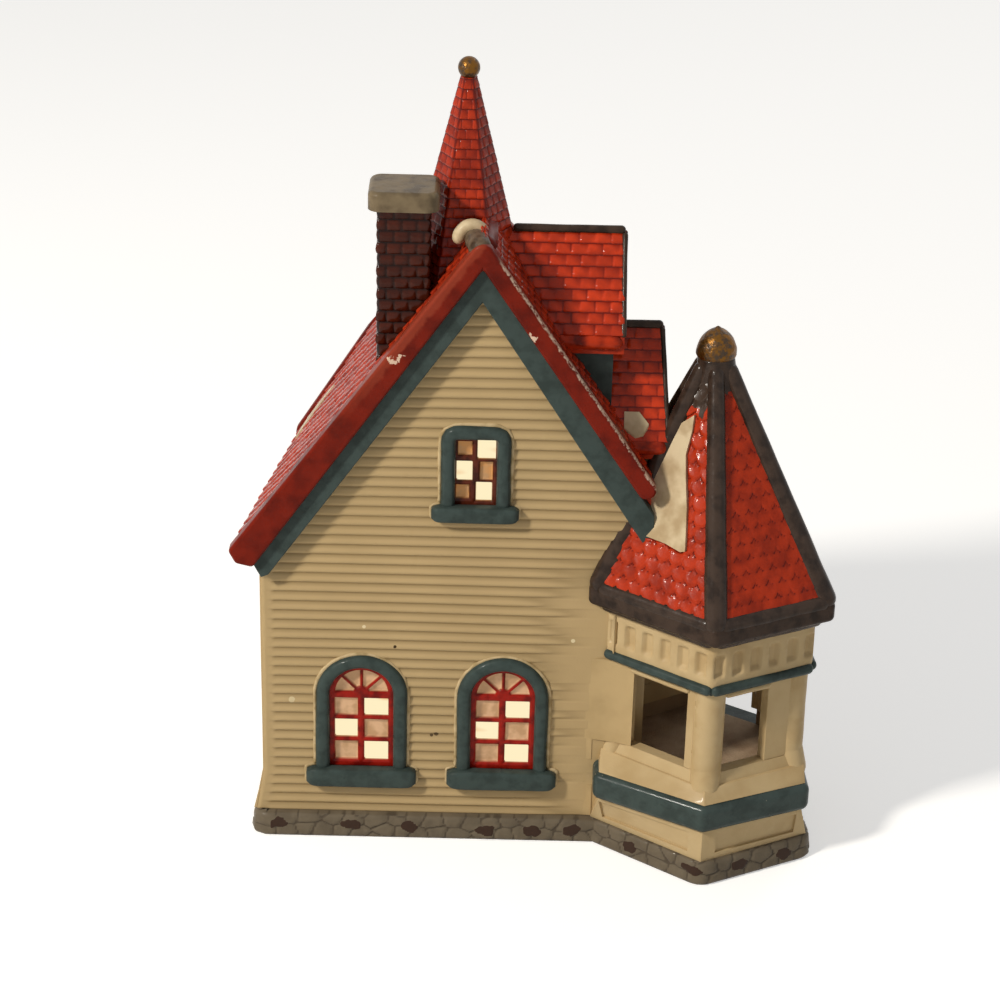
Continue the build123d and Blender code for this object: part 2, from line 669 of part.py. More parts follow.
def sash(outline, half, base_z, head_z, fan):
    """Sash with two columns and three rows of panes, every second one open."""
    frame = upright(outline, SASH_SET, SASH_SET + SASH_T)
    bar = 1.5
    rail = 1.9
    pane_w = (2 * half - 3 * bar) / 2
    row_h = (head_z - base_z - 4 * rail) / 3
    for row in range(3):
        z0 = base_z + rail + row * (row_h + rail)
        for column in range(2):
            x0 = -half + bar + column * (pane_w + bar)
            lit = (row + column) % 2 == 1
            frame = frame - pane_cut(x0, x0 + pane_w, z0, z0 + row_h, lit)
    if fan:
        frame = frame - fan_panes(half - FAN_RIM, head_z)
    return frame


def window_set(low):
    """Casing, sash, film and wall opening of one window, in its own frame at x = 0."""
    if low:
        base = LOW_SASH_BASE_Z
        inner = arch_outline(LOW_SASH_HALF, base, LOW_SPRING_Z)
        outer = arch_outline(LOW_SASH_HALF + LOW_CASING_W, base, LOW_SPRING_Z)
        frame = sash(inner, LOW_SASH_HALF, base, LOW_SPRING_Z, True)
        trim = casing(outer, inner, LOW_SASH_HALF, LOW_SILL_HALF, base, LOW_SILL_H)
    else:
        base = HIGH_SASH_BASE_Z
        inner = box_outline(HIGH_SASH_HALF, base, HIGH_SASH_TOP_Z)
        outer = box_outline(HIGH_SASH_HALF + HIGH_CASING_W, base, HIGH_SASH_TOP_Z + HIGH_CASING_W)
        outer = fillet(outer.vertices().group_by(Axis.Y)[-1], 2.0)
        frame = sash(inner, HIGH_SASH_HALF, base, HIGH_SASH_TOP_Z, False)
        trim = casing(outer, inner, HIGH_SASH_HALF, HIGH_SILL_HALF, base, HIGH_SILL_H)
    film = upright(inner, SASH_SET + SASH_T, SASH_SET + SASH_T + FILM_T)
    opening = upright(inner, -1, WALL + 1)
    return trim, frame, film, opening


def window_places():
    """Name, kind and place of every window."""
    return [("lower_left", True, Pos(LOW_WINDOW_X[0], 0, 0)),
            ("lower_right", True, Pos(LOW_WINDOW_X[1], 0, 0)),
            ("gable", False, Pos(HIGH_WINDOW_X, 0, 0))]


# ---------------------------------------------------------------- turret

def in_turret(shape):
    return Pos(TURRET_X, TURRET_Y, 0) * Rot(0, 0, TURRET_TURN) * shape


def turret_ring(radius, lean=0.0, tier=TURRET_CORNERS):
    """Corners of the turret in its own frame, for a corner radius."""
    corners = []
    for angle, share in tier:
        turn = math.radians(angle)
        corners.append((radius * share * math.cos(turn) + lean, radius * share * math.sin(turn)))
    return corners


def between(low_ring, z0, high_ring, z1):
    """Six-sided solid between two outlines in plan."""
    low = Plane.XY.offset(z0) * flat(low_ring)
    high = Plane.XY.offset(z1) * flat(high_ring)
    return loft([low, high], ruled=True)


def turret_taper(r0, z0, r1, z1, lean0=0.0, lean1=0.0):
    """Six-sided solid between two heights, in the turret's own frame."""
    if r0 == r1 and lean0 == lean1:
        return slab_xy(turret_ring(r0, lean0), z0, z1)
    return between(turret_ring(r0, lean0), z0, turret_ring(r1, lean1), z1)


def band_taper(radius, z0, z1):
    """Upright six-sided solid with the band's plan."""
    return slab_xy(turret_ring(radius, 0, BAND_CORNERS), z0, z1)


def turret_block(radius, z0, z1):
    return in_turret(turret_taper(radius, z0, radius, z1))


def upright_ring(r_out, r_in, z0, z1):
    """Upright six-sided ring in the turret's own frame."""
    return turret_taper(r_out, z0, r_out, z1) - turret_taper(r_in, z0 - 1, r_in, z1 + 1)


def inner_radius(radius):
    """Corner radius that leaves the wall's thickness inside radius."""
    return radius - WALL / math.cos(math.pi / 6)


@cache
def house_block():
    """The main block and the wing as the turret meets them."""
    main = slab_xy(plan(), -1, 126)
    half = WING_HALF_DEPTH - WING_WALL_INSET
    wing = block(0, WING_WALL_X, CROSS_Y - half, CROSS_Y + half, -1, 126)
    return main + wing


def side_box(side, radius, start, width, depth, z0, z1):
    """Box on one side of the turret, depth to each side of its surface."""
    ring = turret_ring(radius)
    first = ring[side]
    last = ring[(side + 1) % len(ring)]
    angle = math.atan2(last[1] - first[1], last[0] - first[0])
    box = Pos(start + width / 2, 0, (z0 + z1) / 2) * Box(width, 2 * depth, z1 - z0)
    return Pos(first[0], first[1], 0) * Rot(0, 0, math.degrees(angle)) * box


def side_length(side, radius):
    ring = turret_ring(radius)
    first = ring[side]
    last = ring[(side + 1) % len(ring)]
    return math.hypot(last[0] - first[0], last[1] - first[1])


def doorway():
    side, start, width = DOORWAY
    return side_box(side, ROOM_R, start, width, 12.0, FLOOR_Z, OPENING_TOP_Z)


def turret_foundation():
    ring = turret_taper(TURRET_BASE_R, 0, TURRET_BASE_TOP_R, TURRET_BASE_H)
    inner = inner_radius(TURRET_WALL_R)
    return in_turret(ring - turret_taper(inner, -1, inner, TURRET_BASE_H + 1)) - house_block()


def base_taper(radius):
    """Base wall as a full solid: the stone course's plan below, the band's plan above."""
    return between(turret_ring(radius), TURRET_BASE_H, turret_ring(radius, 0, BAND_CORNERS), BAND_Z0)


def turret_base_wall():
    """Low wall under the teal band, with a sunk panel in each side."""
    outer = base_taper(TURRET_WALL_R)
    ring = outer - base_taper(inner_radius(TURRET_WALL_R))
    skin = outer - base_taper(TURRET_WALL_R - PANEL_DEPTH)
    for side in range(len(TURRET_CORNERS)):
        width = side_length(side, TURRET_WALL_R) - 2 * PANEL_INSET
        ring = ring - (skin & side_box(side, TURRET_WALL_R, PANEL_INSET, width, PANEL_REACH,
                                       TURRET_BASE_H + PANEL_MARGIN, BAND_Z0 - PANEL_MARGIN))
    return in_turret(ring) - house_block()


def rounded_slab(slab, corner, lip):
    """Six-sided slab with rounded corners and rounded upper and lower edges."""
    slab = fillet(slab.edges().filter_by(Axis.Z), corner)
    return fillet(slab.edges().group_by(Axis.Z)[-1] + slab.edges().group_by(Axis.Z)[0], lip)


def turret_band():
    inner = inner_radius(TURRET_WALL_R)
    band = rounded_slab(band_taper(BAND_R, BAND_Z0, BAND_Z1), 2.5, 2.4)
    hollow = band_taper(inner, BAND_Z0 - 1, BAND_Z1 + 1)
    return in_turret(band - hollow - doorway()) - house_block()


def turret_floor():
    """Floor of the open room, inside the band."""
    inner = inner_radius(TURRET_WALL_R)
    return in_turret(band_taper(inner, FLOOR_Z - FLOOR_T, FLOOR_Z) & base_or_band()) - house_block()


def base_or_band():
    """Space inside the base wall and the band."""
    inner = inner_radius(TURRET_WALL_R)
    return base_taper(inner) + band_taper(inner, BAND_Z0, BAND_Z1)


def turret_sill():
    """Two sloped steps between the band and the openings."""
    inner = inner_radius(ROOM_R)
    low = between(turret_ring(SILL_R, 0, BAND_CORNERS), BAND_Z1, turret_ring(SILL_STEP_R), SILL_STEP_Z)
    high = turret_taper(SILL_STEP_R - 0.8, SILL_STEP_Z, ROOM_R, SILL_TOP_Z)
    hollow = turret_taper(inner, BAND_Z1 - 1, inner, SILL_TOP_Z + 1)
    return in_turret(low + high - hollow - doorway()) - house_block()


def turret_wall():
    """Posts and the head over them, with the openings between."""
    ring = upright_ring(ROOM_R, inner_radius(ROOM_R), SILL_TOP_Z, ROOM_TOP_Z)
    for side, start, width in OPENINGS:
        ring = ring - side_box(side, ROOM_R, start, width, 12.0, SILL_TOP_Z - 1, OPENING_TOP_Z)
    return in_turret(ring - doorway()) - house_block()


def turret_string():
    ring = upright_ring(STRING_R, inner_radius(ROOM_R), ROOM_TOP_Z, ROOM_TOP_Z + STRING_H)
    return in_turret(ring) - house_block()


def turret_frieze():
    """Plain band with a row of dentils on each side."""
    ring = upright_ring(FRIEZE_R, inner_radius(ROOM_R), ROOM_TOP_Z + STRING_H, FRIEZE_TOP_Z)
    pitch = DENTIL_W + DENTIL_GAP
    for side in range(len(TURRET_CORNERS)):
        length = side_length(side, FRIEZE_R)
        count = int(length // pitch)
        first = (length - (count - 1) * pitch - DENTIL_GAP) / 2
        for i in range(count):
            ring = ring - side_box(side, FRIEZE_R, first + i * pitch, DENTIL_GAP, DENTIL_DEPTH,
                                   DENTIL_Z0, DENTIL_Z1)
    return in_turret(ring) - house_block()


def turret_eave():
    inner = inner_radius(ROOM_R)
    board = rounded_slab(turret_taper(EAVE_R, FRIEZE_TOP_Z, EAVE_R, ROOF_FOOT_Z), 2.0, 1.6)
    return in_turret(board - turret_taper(inner, FRIEZE_TOP_Z - 1, inner, ROOF_FOOT_Z + 1)) - house_block()


def turret_eave_block():
    return in_turret(turret_taper(EAVE_R, FRIEZE_TOP_Z, EAVE_R, ROOF_FOOT_Z))


def roof_share(z):
    """How far up the turret roof a height is, from its foot to its tip."""
    return (z - ROOF_FOOT_Z) / (ROOF_TIP_Z - ROOF_FOOT_Z)


@cache
def roof_taper(raised):
    """The turret roof as a full pyramid, its corners moved out by raised."""
    top = roof_share(FINIAL_Z)
    return turret_taper(ROOF_R + raised, ROOF_FOOT_Z, ROOF_R * (1 - top) + raised, FINIAL_Z,
                        0, ROOF_TIP_LEAN * top)


def turret_roof():
    shell = roof_taper(0) - turret_taper(ROOF_R - ROOF_SHELL, ROOF_FOOT_Z, 0.3, FINIAL_Z - 5,
                                         0, ROOF_TIP_LEAN * roof_share(FINIAL_Z - 5))
    return in_turret(shell) - house_block()


def rib_section(radius, width, root):
    """Section of a rib on the hip whose corner is at radius, pointing along +X."""
    half = width / 2
    crest = half * RIB_CREST
    shoulder = radius - half * 0.35
    return flat([(radius - root, -half), (shoulder, -half), (radius + RIB_RISE, -crest),
                 (radius + RIB_RISE, crest), (shoulder, half), (radius - root, half)])


@cache
def ribs():
    """A rib along each hip, narrower towards the top, lying on the roof's sides."""
    top = roof_share(FINIAL_Z)
    lean = ROOF_TIP_LEAN * top
    all_ribs = None
    for angle, share in TURRET_CORNERS:
        low = Plane.XY.offset(ROOF_FOOT_Z) * Rot(0, 0, angle) * rib_section(ROOF_R * share, RIB_W_LOW,
                                                                           RIB_ROOT)
        r_top = ROOF_R * share * (1 - top)
        high = Plane.XY.offset(FINIAL_Z) * Pos(lean, 0) * Rot(0, 0, angle) * rib_section(
            r_top, RIB_W_HIGH, r_top * 0.5 + 0.5)
        rib = loft([low, high], ruled=True) - roof_taper(0)
        all_ribs = rib if all_ribs is None else all_ribs + rib
    return all_ribs


def finial_ball():
    return Pos(ROOF_TIP_LEAN * roof_share(FINIAL_Z), 0, FINIAL_Z) * Sphere(FINIAL_R)


def turret_ribs():
    return in_turret(ribs() - finial_ball()) - house_block()


@cache
def turret_roof_block():
    """Roof and ribs as the main roof's right end meets them."""
    return in_turret(roof_taper(0) + ribs())


def turret_finial():
    """Gilded dome on the tip."""
    return in_turret(finial_ball() - roof_taper(0))


def wall_cove():
    """Hollow fillet between the front wall and the turret's left front side."""
    foot = (COVE_X0, 0)
    far = (COVE_X1, COVE_Y1)
    middle = ((COVE_X0 + COVE_X1) / 2 + 0.5, COVE_Y1 / 3)
    face = make_face(ThreePointArc(foot, middle, far) + Polyline(far, (COVE_X1, 0), foot))
    height = ROOM_TOP_Z - FOUNDATION_H
    solid = extrude(Plane.XY.offset(FOUNDATION_H) * face, amount=height, dir=(0, 0, 1))
    for radius, z0, z1 in ((TURRET_BASE_R, 0, TURRET_BASE_H), (TURRET_WALL_R, 0, BAND_Z0),
                           (BAND_R, BAND_Z0, BAND_Z1), (SILL_R, BAND_Z1, SILL_TOP_Z),
                           (ROOM_R, SILL_TOP_Z, ROOM_TOP_Z)):
        solid = solid - turret_block(radius, z0, z1)
    return solid


# ---------------------------------------------------------------- lamp

def lamp_hole():
    return along_y(LAMP_X, LAMP_Z, LAMP_HOLE_R, BLOCK_DEPTH - WALL - 5, BLOCK_DEPTH + 5)


def socket_body():
    """Moulded socket with its bore, and the hole where its cord would enter."""
    body = along_y(LAMP_X, LAMP_Z, SOCKET_R, SOCKET_FRONT_Y, SOCKET_BACK_Y)
    body = fillet(body.edges().group_by(Axis.Y)[-1], 1.5)
    bore = along_y(LAMP_X, LAMP_Z, SOCKET_BORE_R, SOCKET_FRONT_Y - 1, SOCKET_FRONT_Y + SOCKET_BORE_DEPTH)
    inlet = along_y(LAMP_X, LAMP_Z, CORD_INLET_R, SOCKET_FRONT_Y, SOCKET_BACK_Y + 1)
    return body - bore - inlet


def socket_flange():
    """Disc that stops against the back wall, outside."""
    y0 = BLOCK_DEPTH + RUNNING_GAP
    disc = along_y(LAMP_X, LAMP_Z, FLANGE_R, y0, y0 + FLANGE_T)
    disc = fillet(disc.edges().group_by(Axis.Y)[-1], 0.8)
    return disc - along_y(LAMP_X, LAMP_Z, SOCKET_R, y0 - 1, y0 + FLANGE_T + 1)


def socket_liner():
    """Brass shell that takes the bulb's screw."""
    y1 = SOCKET_FRONT_Y + SOCKET_BORE_DEPTH - 2.0
    outer = along_y(LAMP_X, LAMP_Z, SOCKET_BORE_R, SOCKET_FRONT_Y + 1.5, y1)
    return outer - along_y(LAMP_X, LAMP_Z, SOCKET_BORE_R - LINER_T, SOCKET_FRONT_Y, y1 + 1)


def screw_back_y():
    """Deep end of the bulb's screw base."""
    return SOCKET_FRONT_Y + SCREW_L + 1.0


def socket_contact():
    """Centre contact at the bottom of the bore."""
    floor_y = SOCKET_FRONT_Y + SOCKET_BORE_DEPTH
    tip_y = screw_back_y() + TIP_CONTACT_L + RUNNING_GAP
    post = along_y(LAMP_X, LAMP_Z, 2.6, tip_y, floor_y)
    return post - along_y(LAMP_X, LAMP_Z, CORD_INLET_R * 0.4, tip_y - 1, floor_y + 1)


def bulb_base():
    base = along_y(LAMP_X, LAMP_Z, SCREW_R, screw_back_y() - SCREW_L, screw_back_y())
    tip = along_y(LAMP_X, LAMP_Z, TIP_CONTACT_R, screw_back_y(), screw_back_y() + TIP_CONTACT_L)
    return base + tip


def bulb_outline(inset):
    """Half outline of the glass: neck, belly and pointed end, in radius and length."""
    neck = BULB_NECK_R - inset
    belly = BULB_R - inset
    length = BULB_L - inset
    curve = Spline((neck, 0), (neck + 1.2, 4.0), (belly, 15.0), (belly * 0.62, length * 0.83),
                   (0, length), tangents=((0, 1), (-1, 0)))
    return make_face(curve + Polyline((0, length), (0, 0), (neck, 0)))


def bulb_glass():
    """Hollow glass, its neck on the screw base."""
    shell = revolve(bulb_outline(0), Axis.Y) - revolve(bulb_outline(BULB_GLASS_T), Axis.Y)
    neck_y = screw_back_y() - SCREW_L
    return Pos(LAMP_X, neck_y, LAMP_Z) * Rot(0, 0, 180) * shell


def bulb_filament():
    """Stem and filament loop inside the glass."""
    neck_y = screw_back_y() - SCREW_L
    stem = along_y(LAMP_X, LAMP_Z, 1.6, neck_y - 9.0, neck_y)
    loop = Pos(LAMP_X, neck_y - 10.0, LAMP_Z) * Box(7.0, 2.0, 0.8)
    return stem + loop


def clip_wing(side):
    """Bent spring strip: out from the socket's mouth to the hole, then curled in."""
    root = SOCKET_R + RUNNING_GAP
    strip = make_face(Polyline((root, WING_ROOT_Y), (root + WING_T, WING_ROOT_Y - 0.3),
                               (WING_SPREAD, WING_TIP_Y - 0.3), (WING_SPREAD - 0.2, WING_TIP_Y + 0.3),
                               (WING_SPREAD - 1.8, WING_CURL_Y), (WING_SPREAD - 2.1, WING_CURL_Y - 0.5),
                               (WING_SPREAD - 0.9, WING_TIP_Y - 0.1), close=True))
    solid = extrude(Plane.XY.offset(LAMP_Z - WING_W / 2) * strip, amount=WING_W)
    if side < 0:
        solid = mirror(solid, about=Plane.YZ)
    return Pos(LAMP_X, 0, 0) * solid


# ---------------------------------------------------------------- assembly

def build():
    pieces = {}
    front, back, left, right = walls()
    films = []
    for name, low, place in window_places():
        trim, frame, film, opening = window_set(low)
        pieces[name + "_window_casing"] = place * trim
        pieces[name + "_window_sash"] = place * frame
        films.append(place * film)
        front = front - place * opening
    pieces["window_films"] = Compound(children=[s for film in films for s in film.solids()])
    pieces["house_foundation"] = house_foundation()
    pieces["front_wall"] = front
    pieces["back_wall"] = back - lamp_hole()
    pieces["left_wall"] = left
    pieces["right_wall"] = right
    pieces["wing_gable_wall"] = wing_gable_wall()
    left_slope, right_slope, hip_slope = roof_slopes()
    pieces["left_roof_slope"] = left_slope
    pieces["right_roof_slope"] = right_slope
    pieces["rear_hip_slope"] = hip_slope
    pieces["front_rake_rim"] = front_rim()
    pieces["rear_rake_rim"] = rear_rim()
    pieces["front_rake_trim"] = front_trim()
    pieces["rear_rake_trim"] = rear_trim()
    pieces["ridge_cap"] = ridge_cap()
    pieces["dormer_roof"] = dormer_roof()
    pieces["dormer_walls"] = dormer_walls()
    pieces["dormer_ridge_cap"] = dormer_ridge()
    pieces["wing_roof"] = wing_roof()
    pieces["wing_ridge_cap"] = wing_ridge()
    pieces["chimney_stack"] = chimney_stack()
    pieces["chimney_cap"] = chimney_cap()
    pieces["spire_shell"] = spire_shell()
    pieces["spire_ball"] = spire_ball()
    pieces["spire_snow"] = spire_snow()
    pieces["roof_snow"] = roof_snow()
    pieces["wing_snow"] = wing_snow()
    pieces["turret_snow"] = turret_snow()
    pieces["turret_foundation"] = turret_foundation()
    pieces["turret_base_wall"] = turret_base_wall()
    pieces["turret_floor"] = turret_floor()
    pieces["turret_band"] = turret_band()
    pieces["turret_sill"] = turret_sill()
    pieces["turret_wall"] = turret_wall()
    pieces["turret_string_course"] = turret_string()
    pieces["turret_frieze"] = turret_frieze()
    pieces["turret_eave_board"] = turret_eave()
    pieces["turret_roof"] = turret_roof()
    pieces["turret_ribs"] = turret_ribs()
    pieces["turret_finial"] = turret_finial()
    pieces["wall_cove"] = wall_cove()
    pieces["lamp_socket_body"] = socket_body()
    pieces["lamp_flange"] = socket_flange()
    pieces["lamp_socket_liner"] = socket_liner()
    pieces["lamp_socket_contact"] = socket_contact()
    pieces["lamp_clip_left"] = clip_wing(-1)
    pieces["lamp_clip_right"] = clip_wing(1)
    pieces["bulb_base"] = bulb_base()
    pieces["bulb_glass"] = bulb_glass()
    pieces["bulb_filament"] = bulb_filament()
    return pieces


def main():
    pieces = build()
    whole = Compound(children=[s for piece in pieces.values() for s in piece.solids()])
    box = whole.bounding_box()
    shift = Pos(-(box.min.X + box.max.X) / 2, -(box.min.Y + box.max.Y) / 2, -box.min.Z)
    print("moved by", shift.position, "size", box.size)
    os.makedirs("parts", exist_ok=True)
    for name, piece in pieces.items():
        solids = [shift * solid for solid in piece.solids()]
        shape = solids[0] if len(solids) == 1 else Compound(children=solids)
        export_step(shape, "parts/" + name + ".step")


main()
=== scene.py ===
import math

import bpy
import numpy as np
from mathutils import Matrix, Vector


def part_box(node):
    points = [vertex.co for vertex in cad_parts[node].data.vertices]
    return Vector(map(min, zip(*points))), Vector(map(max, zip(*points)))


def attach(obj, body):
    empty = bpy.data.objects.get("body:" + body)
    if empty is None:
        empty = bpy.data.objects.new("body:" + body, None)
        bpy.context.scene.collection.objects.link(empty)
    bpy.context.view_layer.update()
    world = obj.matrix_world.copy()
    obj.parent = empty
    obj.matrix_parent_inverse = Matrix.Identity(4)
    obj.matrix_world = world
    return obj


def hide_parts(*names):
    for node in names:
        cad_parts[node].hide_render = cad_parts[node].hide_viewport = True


bl_info = {
    "name": "Ceramic Village House",
    "version": (1, 0, 0),
    "blender": (4, 5, 0),
    "location": "View3D > Sidebar > Village House",
    "description": "Glazed and hand-painted finish for a lighted ceramic village house",
    "category": "Add Mesh",
}

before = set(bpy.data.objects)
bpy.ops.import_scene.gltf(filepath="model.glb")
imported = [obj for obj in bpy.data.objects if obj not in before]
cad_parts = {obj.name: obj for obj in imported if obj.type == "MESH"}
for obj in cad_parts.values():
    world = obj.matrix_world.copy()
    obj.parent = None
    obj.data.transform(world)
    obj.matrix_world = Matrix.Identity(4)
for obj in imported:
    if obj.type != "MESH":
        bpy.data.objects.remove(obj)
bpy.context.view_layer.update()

MM = 1000.0  # millimetres in a metre

# The shapes below are worked out in millimetres in the house's own layout: x = 0 near the ridge
# and +x to the turret, y = 0 on the front wall's face and +y to the back, z = 0 on the ground.
# The chimney and the front wall of the frame give where that layout lies in the frame.
CHIMNEY_LEFT, CHIMNEY_RIGHT, CHIMNEY_FRONT, CHIMNEY_BACK = -26.3, -12.0, 3.0, 15.5
LAYOUT_ORIGIN = np.array([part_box("chimney_stack")[0][0] * MM - CHIMNEY_LEFT,
                          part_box("chimney_stack")[0][1] * MM - CHIMNEY_FRONT, 0.0])

WALL_LEFT_FRONT, WALL_LEFT_BACK, WALL_RIGHT, WALL_DEPTH = -57.0, -44.0, 46.0, 54.0
RIDGE_X, RIDGE_Z = 1.5, 180.5
LEFT_EAVE_FRONT, LEFT_EAVE_BACK, RIGHT_EAVE = (-64.8, 89.5), (-51.0, 97.5), (47.5, 112.4)
ROOF_FRONT, ROOF_BACK, HIP_TOP, HIP_FALL = -1.5, 55.5, 31.0, 50.5 / 27.5
STONE_TOP = 6.8
CROSS_Y = 22.0
LOW_WINDOWS, LOW_HALF, LOW_BASE, LOW_SPRING = (-29.7, 9.5), 8.9, 21.8, 44.6
HIGH_WINDOW, HIGH_HALF, HIGH_BASE, HIGH_TOP = 0.7, 5.6, 104.0, 123.4
CASING_WIDTH = 3.9
SPIRE_X, SPIRE_TIP, SPIRE_TOP, SPIRE_TAPER = -3.3, 226.0, 215.4, 0.244
TURRET_X, TURRET_Y, TURRET_TURN = 67.0, 12.2, math.radians(-3.5)
TURRET_CORNERS = ((206, 0.985), (270, 1.0), (329, 0.975), (44, 0.90), (95, 1.04), (150, 1.0))
TURRET_FOOT, TURRET_TIP, TURRET_ROOF_R, TURRET_LEAN = 81.5, 148.0, 37.2, -3.6
FINIAL_FOOT, FINIAL_TOP, FINIAL_R = 143.2, 151.9, 5.35
# Snow on the turret roof's left front side: level distance from its front corner, and height
SNOW_OUTLINE = [(28.6, 125.1), (22.9, 130.0), (21.9, 125.4), (21.8, 119.6), (19.9, 114.1), (17.2, 107.3),
                (14.2, 97.1), (16.0, 96.0), (21.0, 96.8), (28.1, 97.0), (36.0, 99.8), (36.5, 108.7),
                (35.5, 113.8), (31.0, 122.3)]
# Edges of the boarded walls: height, and level distance of the edge at that height
FRONT_LEFT_EDGE = ((6.8, -59.2), (20.0, -57.0), (82.0, -57.0), (84.0, -55.9), (163.0, -0.4))
FRONT_RIGHT_EDGE = ((6.8, 45.6), (99.9, 45.6), (163.0, 3.6))
BACK_LEFT_EDGE = ((6.8, -46.0), (20.0, -44.0), (92.0, -44.0), (121.0, -27.0))
BACK_RIGHT_EDGE = ((6.8, 46.0), (104.0, 46.0), (121.0, 34.0))
WING_HALF_EDGE = ((6.8, 15.5), (119.0, 15.5), (139.0, 2.4))
LEFT_WALL_TOP, RIGHT_WALL_TOP, FOOT_FLARE_TOP, WING_FACE = 93.2, 107.0, 20.0, 48.8
TURRET_BACK, TURRET_SHOULDER = 36.0, 80.0
LAMP_X, LAMP_Z, LAMP_CLEARANCE = -4.0, 32.0, 18.6

# Tones of small marks, and of the parts whose tone no setting changes
DARK_SPECK, BROWN_SPECK, PALE_SPECK, PALE_PATCH = "#43331F", "#54432C", "#D8C8A2", "#CDBB93"
# The first tone on the next line is a painted highlight along the top of the rim's left arm.
RIM_HIGHLIGHT_PAINT, BARE_RIM, CHIPPED_BAND, BARE_BAND = "#8F3A26", "#D6B9A2", "#C9C3AE", "#A48B6C"
PANE_DEEP, ODD_STONE, WORN_GILDING = "#B08A64", "#3A291F", "#35240F"
LIGHT_CREAM, WARM_CREAM = "#C2AA80", "#B69C71"
WHITE = (1.0, 1.0, 1.0, 1.0)


# ---------------------------------------------------------------- sizes and colours

def linear(hex_colour):
    """A display colour, written as a hex value, as linear light with full cover."""
    value = hex_colour.lstrip("#")
    shares = [int(value[i:i + 2], 16) / 255.0 for i in (0, 2, 4)]
    curve = [c / 12.92 if c <= 0.04045 else ((c + 0.055) / 1.055) ** 2.4 for c in shares]
    return (*curve, 1.0)


def length_setting(name, text, millimetres):
    """A length in the panel, given here in millimetres."""
    return bpy.props.FloatProperty(name=name, description=text, default=millimetres / MM,
                                   min=0.0, subtype="DISTANCE", unit="LENGTH", precision=5)


def colour_setting(name, text, hex_colour):
    """A colour in the panel, given here as a hex value."""
    return bpy.props.FloatVectorProperty(name=name, description=text, size=4, min=0.0, max=1.0,
                                         default=linear(hex_colour), subtype="COLOR")


class VillageHouseSizes(bpy.types.PropertyGroup):
    """Sizes of the boards, tiles, scales, bricks and stones"""
    board_pitch: length_setting("Board pitch", "Height of one lap board of the walls", 2.93)
    board_rise: length_setting("Board rise", "How far a board's lower edge stands out", 0.52)
    tile_width: length_setting("Tile width", "Width of the roof tiles", 4.1)
    tile_course: length_setting("Tile course", "Height of one course of roof tiles", 3.1)
    tile_rise: length_setting("Tile rise", "How far a tile's lower edge stands out", 0.75)
    spire_course: length_setting("Spire course", "Height of one course of spire tiles", 2.5)
    scale_width: length_setting("Scale width", "Width of the turret roof's scales", 4.1)
    scale_course: length_setting("Scale course", "Height of one course of scales", 3.9)
    scale_rise: length_setting("Scale rise", "How far a scale's tip stands out", 0.9)
    brick_length: length_setting("Brick length", "Length of the chimney bricks", 4.1)
    brick_course: length_setting("Brick course", "Height of one course of bricks", 3.15)
    stone_size: length_setting("Stone size", "Usual width of the foundation stones", 5.6)


class VillageHouseColours(bpy.types.PropertyGroup):
    """Colours of the glazes, the paints and the lit panes"""
    cream: colour_setting("Cream", "Glaze of the walls", "#BCA276")
    # The deep tones of cream, roof red, bricks and stones darken joints and grooves: partly pooled glaze,
    # partly painted shade.
    cream_deep: colour_setting("Cream, pooled", "Wall glaze where it pools", "#927C56")
    red: colour_setting("Roof red", "Glaze of the tiles", "#B23517")
    red_deep: colour_setting("Roof red, pooled", "Tile glaze in the joints", "#5C120A")
    rim: colour_setting("Rim red", "Paint of the gable rims", "#761C0B")
    rim_deep: colour_setting("Rim red, deep", "Rim paint where it is thick", "#561106")
    teal: colour_setting("Dark teal", "Paint of casings, trim and bands", "#3E4A47")
    teal_deep: colour_setting("Dark teal, deep", "Teal where it is thick", "#333D3A")
    brown: colour_setting("Dark brown", "Paint of ribs and fascia", "#41332A")
    brown_deep: colour_setting("Dark brown, deep", "Brown where it is thick", "#2A201A")
    brick: colour_setting("Brick brown", "Glaze of the chimney bricks", "#4A1C0D")
    brick_deep: colour_setting("Brick joints", "Glaze in the brick joints", "#1B0A05")
    stone: colour_setting("Stone grey", "Paint of the foundation", "#6C6150")
    stone_deep: colour_setting("Stone joints", "Grey paint in the joints", "#51473A")
    snow: colour_setting("Snow", "Off-white glaze of the snow patches", "#D2BF9C")
    gold: colour_setting("Gilding", "Gold lustre of the finials", "#6E4A1C")
    sash: colour_setting("Sash red", "Paint of the arched sashes", "#9A1C10")
    pane: colour_setting("Blind pane", "Glaze of the closed panes", "#CDA782")
    glow: colour_setting("Lit pane", "Lamp light through the open panes", "#FFEFC4")
    glow_deep: colour_setting("Lit pane, edge", "Lamp light at the edge of a pane", "#EDB67E")


# ---------------------------------------------------------------- shader helpers

def add(tree, kind, settings=None, inputs=None):
    """Adds one shader node, sets its settings, and sets or links its inputs by name or number."""
    node = tree.nodes.new("ShaderNode" + kind)
    for key, value in (settings or {}).items():
        setattr(node, key, value)
    for key, value in (inputs or {}).items():
        if isinstance(value, bpy.types.NodeSocket):
            tree.links.new(value, node.inputs[key])
        else:
            node.inputs[key].default_value = value
    return node


def blank(name):
    """A material with only its output node, and its node tree."""
    material = bpy.data.materials.new(name)
    material.use_nodes = True
    material.node_tree.nodes.clear()
    return material, material.node_tree


def finish_material(tree, shader):
    """Links a shader to the material's surface."""
    add(tree, "OutputMaterial", {}, {"Surface": shader})


def blend_colours(tree, share, first, second):
    """Colour between first and second, by share."""
    mixed = add(tree, "Mix", {"data_type": "RGBA"}, {0: share, 6: first, 7: second})
    return mixed.outputs[2]


def span(tree, value, low, high, to_low=0.0, to_high=1.0, smooth=True):
    """Value from low..high carried to to_low..to_high, and kept there."""
    kind = "SMOOTHSTEP" if smooth else "LINEAR"
    return add(tree, "MapRange", {"interpolation_type": kind},
               {0: value, 1: low, 2: high, 3: to_low, 4: to_high}).outputs[0]


